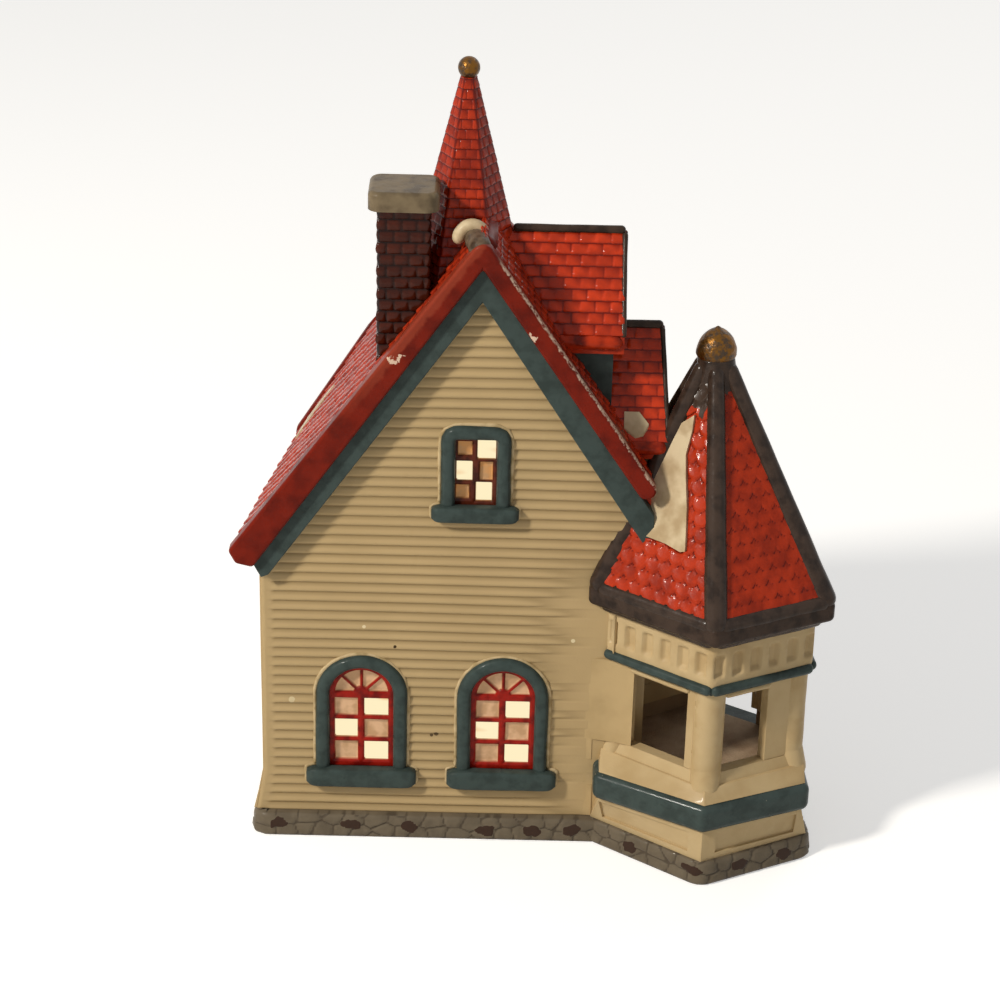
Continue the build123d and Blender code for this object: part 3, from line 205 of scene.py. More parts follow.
def mathematics(tree, operation, first, second=0.0):
    """One step of arithmetic between two values."""
    return add(tree, "Math", {"operation": operation}, {0: first, 1: second}).outputs[0]


def times(tree, first, second):
    """Product of two values."""
    return mathematics(tree, "MULTIPLY", first, second)


def plus(tree, first, second):
    """Sum of two values."""
    return mathematics(tree, "ADD", first, second)


def larger(tree, first, second):
    """The larger of two values."""
    return mathematics(tree, "MAXIMUM", first, second)


def cloud(tree, place, size_mm, detail=2.0, rough=0.5):
    """Soft noise with features of about size_mm."""
    return add(tree, "TexNoise", {}, {"Vector": place, "Scale": MM / size_mm, "Detail": detail,
                                      "Roughness": rough}).outputs[0]


def bumped(tree, colour, height, strength, depth_mm, **inputs):
    """Surface shader with a bump of depth_mm by height; inputs are its other inputs, named with _
    for a space."""
    bump = add(tree, "Bump", {}, {"Strength": strength, "Distance": depth_mm / MM, "Height": height})
    named = {key.replace("_", " "): value for key, value in inputs.items()}
    named.update({"Base Color": colour, "Normal": bump.outputs[0]})
    return add(tree, "BsdfPrincipled", {}, named).outputs[0]


def painted(tree, colour, place, rough=(0.24, 0.38), brush_mm=3.2, brush=0.07, pit=0.02, coat=0.05):
    """Fired glaze over hand paint: brush unevenness and fine pits in the bump, and a clear coat."""
    strokes = cloud(tree, place, brush_mm, 1.5)
    pits = cloud(tree, place, 0.55, 2.0)
    height = plus(tree, times(tree, strokes, brush), times(tree, pits, pit))
    roughness = span(tree, cloud(tree, place, 5.0), 0.3, 0.7, *rough, False)
    return bumped(tree, colour, height, 1.0, 1.6, Roughness=roughness, Specular_IOR_Level=0.07,
                  Coat_Weight=coat, Coat_Roughness=0.08)


def object_place(tree):
    """Place of a point in its own piece, which is the same in every pose."""
    return add(tree, "TexCoord").outputs["Object"]


def relief_share(tree):
    """How high a point stands in its own pattern, 0 in the joints and 1 on the crests."""
    return add(tree, "Attribute", {"attribute_name": "relief"}).outputs["Fac"]


def pooled_and_shaded(tree, light, deep, crest, patches, drift, least):
    """Glaze over relief: deep in the joints, as pooled glaze and painted shade, light on the crests, and
    patchy in between. crest is the span of relief and drift the span of the patches over which it turns
    light; least is the share of light that the darkest patch keeps."""
    # Painted shade: the joints darken by their depth in the relief, along with the pooled glaze.
    height = span(tree, relief_share(tree), *crest)
    patchy = span(tree, patches, *drift, least, 1.0)
    return blend_colours(tree, times(tree, height, patchy), deep, light)


def near(tree, place, centre, reach_mm):
    """1 at a point of the layout, falling to 0 at reach_mm from it."""
    x, y, z = (np.array(centre) + LAYOUT_ORIGIN) / MM
    gap = add(tree, "VectorMath", {"operation": "DISTANCE"}, {0: place, 1: (x, y, z)}).outputs[1]
    full_mm = 0.6 * reach_mm
    return span(tree, gap, reach_mm / MM, full_mm / MM)


# ---------------------------------------------------------------- glazes and paints

def plain_glaze(name, light, deep, patch_mm=7.0, **finish):
    """Glaze on smooth castings: two close tones, drifting as hand-laid glaze does."""
    material, tree = blank(name)
    place = object_place(tree)
    share = span(tree, cloud(tree, place, patch_mm, 3.0), 0.3, 0.62)
    colour = blend_colours(tree, share, deep, light)
    finish_material(tree, painted(tree, colour, place, **finish))
    return material


def relief_glaze(name, light, deep, patch=0.35, patch_mm=5.0, start=0.05, full=0.75, **finish):
    """Glaze on patterned castings: dark in the joints, as pooled glaze and painted shade, and thin on the
    crests.
    """
    material, tree = blank(name)
    place = object_place(tree)
    patches = cloud(tree, place, patch_mm, 3.0)
    colour = pooled_and_shaded(tree, light, deep, (start, full), patches, (0.35, 0.7), 1.0 - patch)
    finish_material(tree, painted(tree, colour, place, **finish))
    return material


def cream_boards(colours):
    """Cream gloss glaze on the lap boards: darker under each board, as pooled glaze and painted shade, with a
    few dark and pale marks.
    """
    material, tree = blank("cream_glaze_on_lap_boards")
    place = object_place(tree)
    patches = cloud(tree, place, 22.0, 3.0)
    colour = pooled_and_shaded(tree, colours.cream, colours.cream_deep, (0.0, 0.75), patches, (0.3, 0.7), 0.82)
    for centre, reach, tone in (((-20.5, 0.0, 60.0), 0.9, DARK_SPECK), ((-8.9, 0.0, 32.6), 1.0, BROWN_SPECK),
                                ((-10.2, 0.0, 32.0), 0.7, BROWN_SPECK), ((-29.0, 0.0, 66.0), 0.9, PALE_SPECK),
                                ((-49.0, 0.0, 42.5), 1.3, PALE_PATCH), ((28.2, 0.0, 63.0), 0.8, PALE_SPECK)):
        spot = plus(tree, near(tree, place, centre, reach), times(tree, cloud(tree, place, 0.9, 2.0), 0.8))
        colour = blend_colours(tree, span(tree, spot, 0.95, 1.15), colour, linear(tone))
    finish_material(tree, painted(tree, colour, place, (0.26, 0.42), 4.5, 0.05, 0.015, 0.12))
    return material


def brushed_red(tree, place, colours, patch_mm, least):
    """Red tones of the tiles and scales: deep in the joints, as pooled glaze and painted shade, blotchy from
    the brush.
    """
    patches = cloud(tree, place, patch_mm, 4.0, 0.6)
    return pooled_and_shaded(tree, colours.red, colours.red_deep, (0.05, 0.6), patches, (0.32, 0.62), least)


def red_tiles(colours):
    """Red gloss glaze on embossed tiles."""
    material, tree = blank("red_gloss_glaze_on_tiles")
    place = object_place(tree)
    colour = brushed_red(tree, place, colours, 7.0, 0.45)
    finish_material(tree, painted(tree, colour, place, (0.2, 0.34), 2.2, 0.05, 0.02, 0.14))
    return material


def turret_scales_paint(colours):
    """Red glaze on the scales, with the ribs' brown carried over the top of the roof: it reaches
    lower on the left side, and runs down a little in drips."""
    material, tree = blank("red_gloss_glaze_on_scales")
    place = object_place(tree)
    colour = brushed_red(tree, place, colours, 6.0, 0.5)
    sideways, _, upright = add(tree, "SeparateXYZ", {}, {0: place}).outputs[:3]
    drips = add(tree, "Mapping", {}, {"Vector": place, "Scale": (1.0, 1.0, 0.25)}).outputs[0]
    runs = times(tree, cloud(tree, drips, 3.2), 0.012)
    left = (TURRET_X + LAYOUT_ORIGIN[0] - 3.0) / MM
    lowered = span(tree, sideways, left, left - 0.004, 0.0, 0.0075)
    edge = plus(tree, plus(tree, upright, runs), lowered)
    brown_from = 0.1440
    brown_share = span(tree, edge, brown_from, brown_from + 0.0006)
    colour = blend_colours(tree, brown_share, colour, colours.brown)
    finish_material(tree, painted(tree, colour, place, (0.26, 0.4), 2.2, 0.05, 0.02, 0.07))
    return material


def over_rafter(tree, x, z, eave, lift):
    """Distance of a point measured square to a rafter of the front gable, from the ridge to eave,
    and the same distance of a line that lies lift over the rafter."""
    slope = (RIDGE_Z - eave[1]) / (eave[0] - RIDGE_X)
    square = math.hypot(1.0, slope)
    over = plus(tree, times(tree, x, slope / square), times(tree, z, 1.0 / square))
    line = (RIDGE_Z + lift + slope * (RIDGE_X + LAYOUT_ORIGIN[0])) / MM / square
    return over, line


def rim_painted_highlight(tree, place, x, z):
    """Upper part of the rim's left arm, painted lighter: a painted highlight where its top faces the light.
    """
    over, line = over_rafter(tree, x, z, LEFT_EAVE_FRONT, -0.6)
    uneven = plus(tree, over, times(tree, cloud(tree, place, 4.0, 3.0), 0.003))
    return times(tree, span(tree, uneven, line, line + 0.0012), span(tree, z, 0.125, 0.15, 0.0, 0.75))


def rim_edge_flecks(tree, place, x, y, z):
    """Flecks of pale tone along the upper edge of the rim's right arm, on its front face."""
    over, line = over_rafter(tree, x, z, RIGHT_EAVE, 1.5)
    ragged = times(tree, cloud(tree, place, 2.2, 4.0, 0.7), 0.0016)
    edge = span(tree, plus(tree, over, ragged), line + 0.0002, line + 0.0006)
    front = span(tree, y, (LAYOUT_ORIGIN[1] - 3.6) / MM, (LAYOUT_ORIGIN[1] - 4.6) / MM)
    right = span(tree, x, (LAYOUT_ORIGIN[0] + 5.0) / MM, (LAYOUT_ORIGIN[0] + 7.0) / MM)
    flecks = span(tree, cloud(tree, place, 0.9, 3.0, 0.7), 0.42, 0.52)
    return times(tree, times(tree, edge, front), times(tree, right, flecks))


def torn_rim(tree, place):
    """Four spots where the paint has come off, with edges torn by a noise that shifts each point."""
    warp = add(tree, "TexNoise", {}, {"Vector": place, "Scale": 700.0, "Detail": 3.0}).outputs[1]
    warped = add(tree, "VectorMath", {"operation": "MULTIPLY_ADD"},
                 {0: warp, 1: (0.005, 0.005, 0.005), 2: place}).outputs[0]
    warped = add(tree, "VectorMath", {"operation": "SUBTRACT"},
                 {0: warped, 1: (0.0025, 0.0025, 0.0025)}).outputs[0]
    spots = None
    for centre, reach in (((-21.6, -6.0, 147.6), 1.5), ((-19.6, -6.0, 148.4), 1.3),
                          ((14.2, -6.0, 155.4), 1.0), ((15.0, -6.0, 154.6), 0.9)):
        spot = near(tree, warped, centre, reach)
        spots = spot if spots is None else larger(tree, spots, spot)
    return span(tree, spots, 0.35, 0.5)


def rim_paint(colours):
    """Dark red paint on the gable rims, with a painted highlight along the upper left arm, and pale flecks
    and chips down to the body in places.
    """
    material, tree = blank("dark_red_paint_on_rims")
    place = object_place(tree)
    x, y, z = add(tree, "SeparateXYZ", {}, {0: place}).outputs[:3]
    share = span(tree, cloud(tree, place, 8.0, 3.0), 0.3, 0.62)
    colour = blend_colours(tree, share, colours.rim_deep, colours.rim)
    # Painted highlight: lighter red along the top of the rim's left arm.
    colour = blend_colours(tree, rim_painted_highlight(tree, place, x, z), colour, linear(RIM_HIGHLIGHT_PAINT))
    bare = larger(tree, rim_edge_flecks(tree, place, x, y, z), torn_rim(tree, place))
    colour = blend_colours(tree, bare, colour, linear(BARE_RIM))
    finish_material(tree, painted(tree, colour, place, (0.22, 0.36), 3.0, 0.06, 0.02, 0.03))
    return material


def sash_paint(name, paint, deep, pane):
    """Painted sash bars round closed panes of bare glaze, which glow a little from the lamp behind."""
    material, tree = blank(name)
    place = object_place(tree)
    closed = add(tree, "Attribute", {"attribute_name": "pane"}).outputs["Fac"]
    bars = blend_colours(tree, span(tree, cloud(tree, place, 3.0), 0.3, 0.62), deep, paint)
    patches = span(tree, cloud(tree, place, 3.0, 2.0), 0.35, 0.65)
    glass = blend_colours(tree, patches, linear(PANE_DEEP), pane)
    colour = blend_colours(tree, closed, bars, glass)
    shader = painted(tree, colour, place, (0.22, 0.36), 1.8, 0.05, 0.02, 0.1)
    glow = add(tree, "Emission", {}, {"Color": pane, "Strength": times(tree, closed, 0.18)})
    finish_material(tree, add(tree, "AddShader", {}, {0: shader, 1: glow.outputs[0]}).outputs[0])
    return material


def band_paint(colours):
    """Teal paint on the turret's bands, bare body on their faces that look towards the turret's axis."""
    material, tree = blank("dark_teal_paint_on_band")
    place = object_place(tree)
    level = add(tree, "Mapping", {}, {"Vector": place, "Scale": (1.0, 1.0, 0.0)}).outputs[0]
    x, y, _ = (np.array([TURRET_X, TURRET_Y, 0.0]) + LAYOUT_ORIGIN) / MM
    away = add(tree, "VectorMath", {"operation": "SUBTRACT"}, {0: level, 1: (x, y, 0.0)}).outputs[0]
    outward = add(tree, "VectorMath", {"operation": "DOT_PRODUCT"},
                  {0: add(tree, "NewGeometry").outputs["Normal"], 1: away}).outputs[1]
    share = span(tree, cloud(tree, place, 4.0, 3.0), 0.3, 0.62)
    colour = blend_colours(tree, share, colours.teal_deep, colours.teal)
    chips = times(tree, span(tree, cloud(tree, place, 1.3, 3.0, 0.7), 0.66, 0.69),
                  span(tree, cloud(tree, place, 14.0), 0.5, 0.6))
    colour = blend_colours(tree, chips, colour, linear(CHIPPED_BAND))
    colour = blend_colours(tree, span(tree, outward, -0.001, -0.004), colour, linear(BARE_BAND))
    finish_material(tree, painted(tree, colour, place, (0.22, 0.36), 3.0, 0.08, 0.02, 0.12))
    return material


def lit_film(colours):
    """Translucent film behind the open panes, glowing with lamp light in drifting bands of pale and warm
    tones.
    """
    material, tree = blank("lamplit_window_film")
    place = object_place(tree)
    stretched = add(tree, "Mapping", {}, {"Vector": place, "Scale": (0.35, 1.0, 1.0)}).outputs[0]
    bands = span(tree, cloud(tree, stretched, 4.5, 1.0), 0.22, 0.4)
    colour = blend_colours(tree, bands, colours.glow_deep, colours.glow)
    glow = add(tree, "Emission", {}, {"Color": colour, "Strength": 1.0})
    finish_material(tree, glow.outputs[0])
    return material


def stone_paint(colours):
    """Grey paint on the stone course: joints darker, as pooled paint and painted shade, and odd stones picked
    out in dark brown.
    """
    material, tree = blank("grey_paint_on_stones")
    place = object_place(tree)
    patches = cloud(tree, place, 5.0, 3.0)
    colour = pooled_and_shaded(tree, colours.stone, colours.stone_deep, (0.1, 0.7), patches, (0.3, 0.65), 0.55)
    odd = add(tree, "Attribute", {"attribute_name": "odd_stone"}).outputs["Fac"]
    ragged = plus(tree, odd, times(tree, cloud(tree, place, 1.6, 2.0), 0.5))
    colour = blend_colours(tree, span(tree, ragged, 0.66, 0.74), colour, linear(ODD_STONE))
    finish_material(tree, painted(tree, colour, place, (0.3, 0.5), 2.0, 0.07, 0.03, 0.12))
    return material


def gilding(colours):
    """Gold lustre brushed over glaze: metal where it covers, brown where it has worn."""
    material, tree = blank("gold_lustre_over_glaze")
    place = object_place(tree)
    worn = span(tree, cloud(tree, place, 1.8, 4.0, 0.65), 0.42, 0.62)
    colour = blend_colours(tree, worn, colours.gold, linear(WORN_GILDING))
    strokes = cloud(tree, place, 1.1, 3.0)
    metal = span(tree, worn, 0.0, 1.0, 0.9, 0.3, False)
    rough = span(tree, strokes, 0.3, 0.7, 0.28, 0.46, False)
    finish_material(tree, bumped(tree, colour, strokes, 0.7, 0.4, Metallic=metal, Roughness=rough))
    return material


def bisque(name, light, deep):
    """Unglazed fired body inside the house: matt, warm and slightly grainy."""
    material, tree = blank(name)
    place = object_place(tree)
    patches = span(tree, cloud(tree, place, 9.0, 4.0), 0.3, 0.68)
    colour = blend_colours(tree, patches, linear(deep), linear(light))
    grain = cloud(tree, place, 0.6, 3.0)
    finish_material(tree, bumped(tree, colour, grain, 0.5, 0.4, Roughness=0.85))
    return material


def moulded_plastic():
    """Off-white moulded lamp socket: satin, with faint flow marks."""
    material, tree = blank("moulded_socket_plastic")
    place = object_place(tree)
    patches = span(tree, cloud(tree, place, 12.0), 0.3, 0.7)
    colour = blend_colours(tree, patches, linear("#D8D3C6"), linear("#E6E2D8"))
    rough = span(tree, cloud(tree, place, 3.0), 0.3, 0.7, 0.36, 0.5, False)
    marks = cloud(tree, place, 0.8, 2.0)
    finish_material(tree, bumped(tree, colour, marks, 0.25, 0.2, Roughness=rough))
    return material


def drawn_metal(name, bright, dull, roughness):
    """Drawn or rolled metal of the lamp: fine lines and a little tarnish."""
    material, tree = blank(name)
    place = object_place(tree)
    lines = add(tree, "Mapping", {}, {"Vector": place, "Scale": (1.0, 0.15, 1.0)}).outputs[0]
    grain = cloud(tree, lines, 0.5, 3.0)
    tarnish = span(tree, cloud(tree, place, 4.0, 3.0), 0.35, 0.7)
    colour = blend_colours(tree, tarnish, linear(bright), linear(dull))
    rough = span(tree, grain, 0.3, 0.7, roughness - 0.06, roughness + 0.08, False)
    finish_material(tree, bumped(tree, colour, grain, 0.2, 0.1, Metallic=1.0, Roughness=rough))
    return material


def bulb_glass():
    """Thin blown glass of a small clear lamp."""
    material, tree = blank("blown_lamp_glass")
    waves = cloud(tree, object_place(tree), 6.0)
    finish_material(tree, bumped(tree, linear("#FBF4E4"), waves, 0.15, 0.2, Roughness=0.03, IOR=1.5,
                                 Transmission_Weight=1.0))
    return material


def hot_filament():
    """Glowing filament: brighter in the middle of the loop."""
    material, tree = blank("hot_lamp_filament")
    place = object_place(tree)
    colour = blend_colours(tree, span(tree, cloud(tree, place, 1.5), 0.3, 0.7),
                           linear("#FF9A3A"), linear("#FFE2A8"))
    glow = add(tree, "Emission", {}, {"Color": colour, "Strength": 4.0})
    finish_material(tree, glow.outputs[0])
    return material


# ---------------------------------------------------------------- mesh helpers

def ease(value, low, high):
    """0 below low, 1 above high, and a smooth step between."""
    share = np.clip((value - low) / (high - low), 0.0, 1.0)
    return share * share * (3.0 - 2.0 * share)


def scatter(first, second, seed):
    """A fixed value from 0 to 1 for each pair of whole numbers."""
    return np.modf(np.abs(np.sin(first * 12.9898 + second * 78.233 + seed * 37.719) * 43758.5453))[0]


def waver(first, second, reach, seed):
    """Sum of three slow sines of both lengths, from -1 to 1: the unevenness of handwork."""
    total = np.zeros(np.broadcast(first, second).shape)
    for k, share in enumerate((0.5, 0.3, 0.2)):
        turn = 1.7 * k + seed
        size = reach / (1.0 + 0.9 * k)
        phase = first / size * math.cos(turn) + second / size * math.sin(turn) + 2.1 * turn
        total = total + share * np.sin(phase)
    return total


def course_levels(low, high, pitch, steps):
    """Heights from low to high with the same few steps in every course."""
    courses = np.arange(math.floor(low / pitch) - 1, math.ceil(high / pitch) + 1)
    levels = (courses[:, None] * pitch + np.array(steps)[None, :] * pitch).ravel()
    levels = levels[(levels > low + 0.02) & (levels < high - 0.02)]
    return np.concatenate([[low], levels, [high]])


def cell_middles(grid):
    """Middle of each cell of a grid of values or points."""
    return (grid[1:, :-1] + grid[:-1, 1:]) / 2.0


def distances(line):
    """Distance along a line of points, at each of its points."""
    return np.concatenate([[0.0], np.cumsum(np.linalg.norm(np.diff(line, axis=0), axis=1))])


def points_at(line, run, at):
    """Points of a line at the distances at; run is the distance at each of the line's own points."""
    return np.stack([np.interp(at, run, line[:, k]) for k in range(line.shape[1])], axis=-1)


def unit_rows(vectors):
    """Each vector at length 1."""
    return vectors / np.linalg.norm(vectors, axis=1)[:, None]


def circle(count):
    """Angles of count points round a circle."""
    return np.arange(count) / count * 2.0 * math.pi


def edge_at(levels, outline):
    """Level distance of an edge at each height, from its points of height and distance."""
    heights, edge = zip(*outline)
    return np.interp(levels, heights, edge)


def sheet_faces(count_u, count_v, keep=None):
    """Quads of a grid of points, running u by v; keep marks the cells that stay."""
    i, j = np.meshgrid(np.arange(count_u - 1), np.arange(count_v - 1), indexing="ij")
    first = i * count_v + j
    second = first + count_v
    quads = np.stack([first, second, second + 1, first + 1], axis=-1)
    return quads[keep] if keep is not None else quads.reshape(-1, 4)


def make_piece(name, points, faces, material, slot, values=None, wall_mm=0.0, body="house"):
    """Puts points of the layout, in millimetres, and faces into a mesh that rides on a body.
    values are numbers per point, kept as attributes; wall_mm closes an open sheet inwards."""
    points = np.asarray(points, float).reshape(-1, 3)
    if isinstance(faces, np.ndarray):
        used, faces = np.unique(faces, return_inverse=True)
        faces = faces.reshape(-1, 4).tolist()
        points = points[used]
        values = {key: np.asarray(v, float).ravel()[used] for key, v in (values or {}).items()}
    mesh = bpy.data.meshes.new(name)
    mesh.from_pydata(((points + LAYOUT_ORIGIN) / MM).tolist(), [], faces)
    for key, value in (values or {}).items():
        numbers = np.asarray(value, float).ravel()
        mesh.attributes.new(key, "FLOAT", "POINT").data.foreach_set("value", numbers)
    mesh.shade_smooth()
    mesh.materials.append(material)
    piece = bpy.data.objects.new(name, mesh)
    bpy.context.scene.collection.objects.link(piece)
    if wall_mm:
        wall = piece.modifiers.new("Wall", "SOLIDIFY")
        wall.thickness = wall_mm / MM
        wall.offset = -1.0
    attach(piece, body)
    return piece


def relief_sheet(name, points, relief, material, slot, wall_mm, keep=None):
    """Closed sheet over a grid of points, with the relief kept for its glaze."""
    faces = sheet_faces(*points.shape[:2], keep=keep)
    return make_piece(name, points, faces, material, slot, {"relief": relief}, wall_mm)


def ring_piece(name, rings, material, closed=False, **rest):
    """Skin through rings of points, one ring after another, each ring closed on itself.
    rings runs path by profile by xyz; an open path is capped with one face at each end."""
    path, profile = rings.shape[:2]
    i, j = np.meshgrid(np.arange(path if closed else path - 1), np.arange(profile), indexing="ij")
    here = i * profile
    after = (i + 1) % path * profile
    next_j = (j + 1) % profile
    faces = np.stack([here + j, after + j, after + next_j, here + next_j], axis=-1).reshape(-1, 4).tolist()
    if not closed:
        faces.append(list(range(profile)))
        faces.append([(path - 1) * profile + k for k in range(profile - 1, -1, -1)])
    return make_piece(name, rings, faces, material, **rest)


def tube(name, line, radii, material, slot, lump=0.0, around=18, seed=1.0):
    """Round bar along a line of points: circles square to it whose radius runs between radii and
    closes in a quarter circle at both ends; lump makes it uneven."""
    line = np.array(line, float)
    run = distances(line)
    length = run[-1]
    quarter = 1.0 - np.cos(np.linspace(0.05, math.pi / 2.0, 6))
    middle = np.linspace(0.0, 1.0, max(3, int(length / 0.8)))[1:-1]
    reach = radii[0] + (length - radii[-1] - radii[0]) * middle
    at = np.concatenate([radii[0] * quarter, reach, length - radii[-1] * quarter[::-1]])
    path = points_at(line, run, at)
    radius = np.interp(at, np.linspace(0.0, length, len(radii)), radii)
    end = np.minimum(1.0, np.minimum(at / radii[0], (length - at) / radii[-1]))
    radius = radius * np.sqrt(1.0 - (1.0 - end) ** 2)
    ahead = unit_rows(np.gradient(path, axis=0))
    guide = np.array([0.0, 1.0, 0.0]) if abs(ahead[:, 1]).max() < 0.8 else np.array([0.0, 0.0, 1.0])
    side = unit_rows(np.cross(ahead, guide))
    top = np.cross(side, ahead)
    turn = circle(around)
    swell = radius[:, None] * (1.0 + lump * waver(at[:, None], 3.0 * np.sin(turn)[None, :], 3.0, seed))
    rings = (path[:, None, :] + (swell * np.cos(turn))[..., None] * side[:, None, :]
             + (swell * np.sin(turn))[..., None] * top[:, None, :])
    return ring_piece(name, rings, material, slot=slot)


def turned(name, x, y, radius, height, material, slot):
    """Skin through level rings from the top down: radius runs levels by the angles of a circle."""
    turn = circle(radius.shape[1])
    rings = np.stack([x + radius * np.cos(turn), y + radius * np.sin(turn),
                      np.broadcast_to(height, radius.shape)], axis=-1)
    return ring_piece(name, rings[::-1], material, slot=slot)


def band_rings(path, outward, out, heights, inner):
    """Section carried along a plan: an outer face at out from the path, and a plain inner face."""
    outer = np.stack([path[:, 0, None] + outward[:, 0, None] * out,
                      path[:, 1, None] + outward[:, 1, None] * out,
                      np.broadcast_to(heights, out.shape)], axis=-1)
    inside = path - outward * inner
    upper = np.insert(inside, 2, heights[-1], axis=1)[:, None, :]
    lower = np.insert(inside, 2, heights[0], axis=1)[:, None, :]
    return np.concatenate([outer, upper, lower], axis=1)


def within(x, y, outline):
    """Whether each point lies inside a closed outline: it crosses an odd number of its sides."""
    inside = np.zeros(np.broadcast(x, y).shape, bool)
    for (x0, y0), (x1, y1) in zip(outline, outline[1:] + outline[:1]):
        if y0 != y1:
            crosses = ((y0 > y) != (y1 > y)) & (x < (x1 - x0) * (y - y0) / (y1 - y0) + x0)
            inside ^= crosses
    return inside


# ---------------------------------------------------------------- patterns

def lap(height, pitch):
    """Lap board: a soft groove, the board furthest out over it, then leaning back to the next one."""
    share = height / pitch - np.floor(height / pitch)
    return ease(share, 0.0, 0.3) * (1.0 - 0.78 * ease(share, 0.2, 1.1))


LAP_STEPS = (0.0, 0.08, 0.16, 0.26, 0.42, 0.6, 0.8, 0.92)


def tiles(across, up, width, course, seed):
    """Tiles in courses, each course half a tile over: a wedge that also falls away to its right."""
    row = np.floor(up / course + 1e-6)
    share = up / course - row
    along = across / width + 0.5 * np.mod(row, 2) + 0.16 * (scatter(row, 0 * row, seed) - 0.5)
    column = np.floor(along)
    side = along - column
    lean = scatter(row, column, seed + 1) - 0.5
    edge = ease(share, 0.0, 0.16)
    across_tile = ease(side, 0.0, 0.16) * (1.0 - 0.6 * ease(side, 0.2, 1.05))
    return edge * (1.0 - 0.62 * share) * (0.25 + 0.75 * across_tile) * (1.0 + 0.3 * lean)


TILE_STEPS = (0.0, 0.07, 0.15, 0.4, 0.7, 0.95)
TILE_CELL, TILE_WALL, OVER_CASTING, OVER_WALL = 0.44, 0.7, 0.08, 0.06


def scales(across, up, width, course, seed):
    """Overlapping scales with round tips: a tip's arc cuts into the course below it."""
    row = np.floor(up / course + 1e-6)
    share = up / course - row
    along = across / width + 0.5 * np.mod(row, 2)
    side = along - np.floor(along) - 0.5
    arc = 0.62 * (1.0 - np.sqrt(np.clip(1.0 - (1.9 * side) ** 2, 0.0, 1.0)))
    lower_side = np.where(side > 0, side - 0.5, side + 0.5)
    lower_arc = 0.62 * (1.0 - np.sqrt(np.clip(1.0 - (1.9 * lower_side) ** 2, 0.0, 1.0)))
    in_own = share >= arc
    reach = np.where(in_own, share - arc, share + 1.0 - lower_arc)
    lean = scatter(np.where(in_own, row, row - 1), np.floor(along), seed) - 0.5
    return ease(reach, 0.0, 0.2) * (1.0 - 0.52 * np.clip(reach, 0, 1.6)) * (1.0 + 0.4 * lean)


def bricks(across, up, length, course, seed):
    """Running bond: rounded bricks with sunk joints."""
    row = np.floor(up / course + 1e-6)
    share = up / course - row
    along = across / length + 0.5 * np.mod(row, 2)
    column = np.floor(along)
    side = along - column
    round_up = np.clip(1.0 - np.abs(2.0 * share - 1.0) ** 2.4, 0.0, 1.0) ** 0.6
    round_along = np.clip(1.0 - np.abs(2.0 * side - 1.0) ** 4.5, 0.0, 1.0) ** 0.6
    return round_up * round_along * (0.82 + 0.3 * (scatter(row, np.mod(column, 10), seed) - 0.5))


# ---------------------------------------------------------------- flat sheets with relief

def panel_axes(corners):
    """Direction along the low edge, direction up the side square to it, and both lengths."""
    start, end, _, high_start = (np.array(c, float) for c in corners)
    length = np.linalg.norm(end - start)
    along = (end - start) / length
    rise = high_start - start - along * np.dot(high_start - start, along)
    height = np.linalg.norm(rise)
    return along, rise / height, length, height


def panel(corners, columns, up_levels):
    """Grid on a four-cornered side. corners run low start, low end, high end, high start,
    counterclockwise seen from outside; columns and up_levels are the shares of the way along
    and the heights over the low edge. Gives points, distance along, height up and the normal."""
    start, end, high_end, high_start = (np.array(c, float) for c in corners)
    along, rise, _, total = panel_axes(corners)
    share_u = columns[:, None, None]
    share_v = (up_levels / total)[None, :, None]
    low = start + (end - start) * share_u
    high = high_start + (high_end - high_start) * share_u
    points = low + (high - low) * share_v
    across = (points - start) @ along
    up = (points - start) @ rise
    return points, across, up, np.cross(along, rise)


def tile_relief(across, up, sizes, seed):
    """Tiles of the roofs, with courses that waver a little."""
    wavering = across + 0.12 * waver(up, across, 9.0, seed)
    return tiles(wavering, up, sizes.tile_width * MM, sizes.tile_course * MM, seed)


def tiled_panel(name, corners, material, sizes, rise, seed):
    """A roof side laid with tiles, as a closed sheet over the casting."""
    length, height = panel_axes(corners)[2:]
    columns = np.linspace(0.0, 1.0, int(length / TILE_CELL) + 2)
    levels = course_levels(0.0, height, sizes.tile_course * MM, TILE_STEPS)
    points, across, up, normal = panel(corners, columns, levels)
    relief = tile_relief(across, up, sizes, seed)
    out = OVER_CASTING + rise * relief + 0.1 * waver(across, up, 11.0, seed)
    relief_sheet(name, points + out[..., None] * normal, relief, material, "roof_red", TILE_WALL)


# ---------------------------------------------------------------- operators

class BuildStep:
    """What every building step shares: its place in the operator list, and its settings."""
    bl_options = {"REGISTER"}

    @staticmethod
    def settings(context):
        """The scene's sizes and colours."""
        return context.scene.village_house_sizes, context.scene.village_house_colours


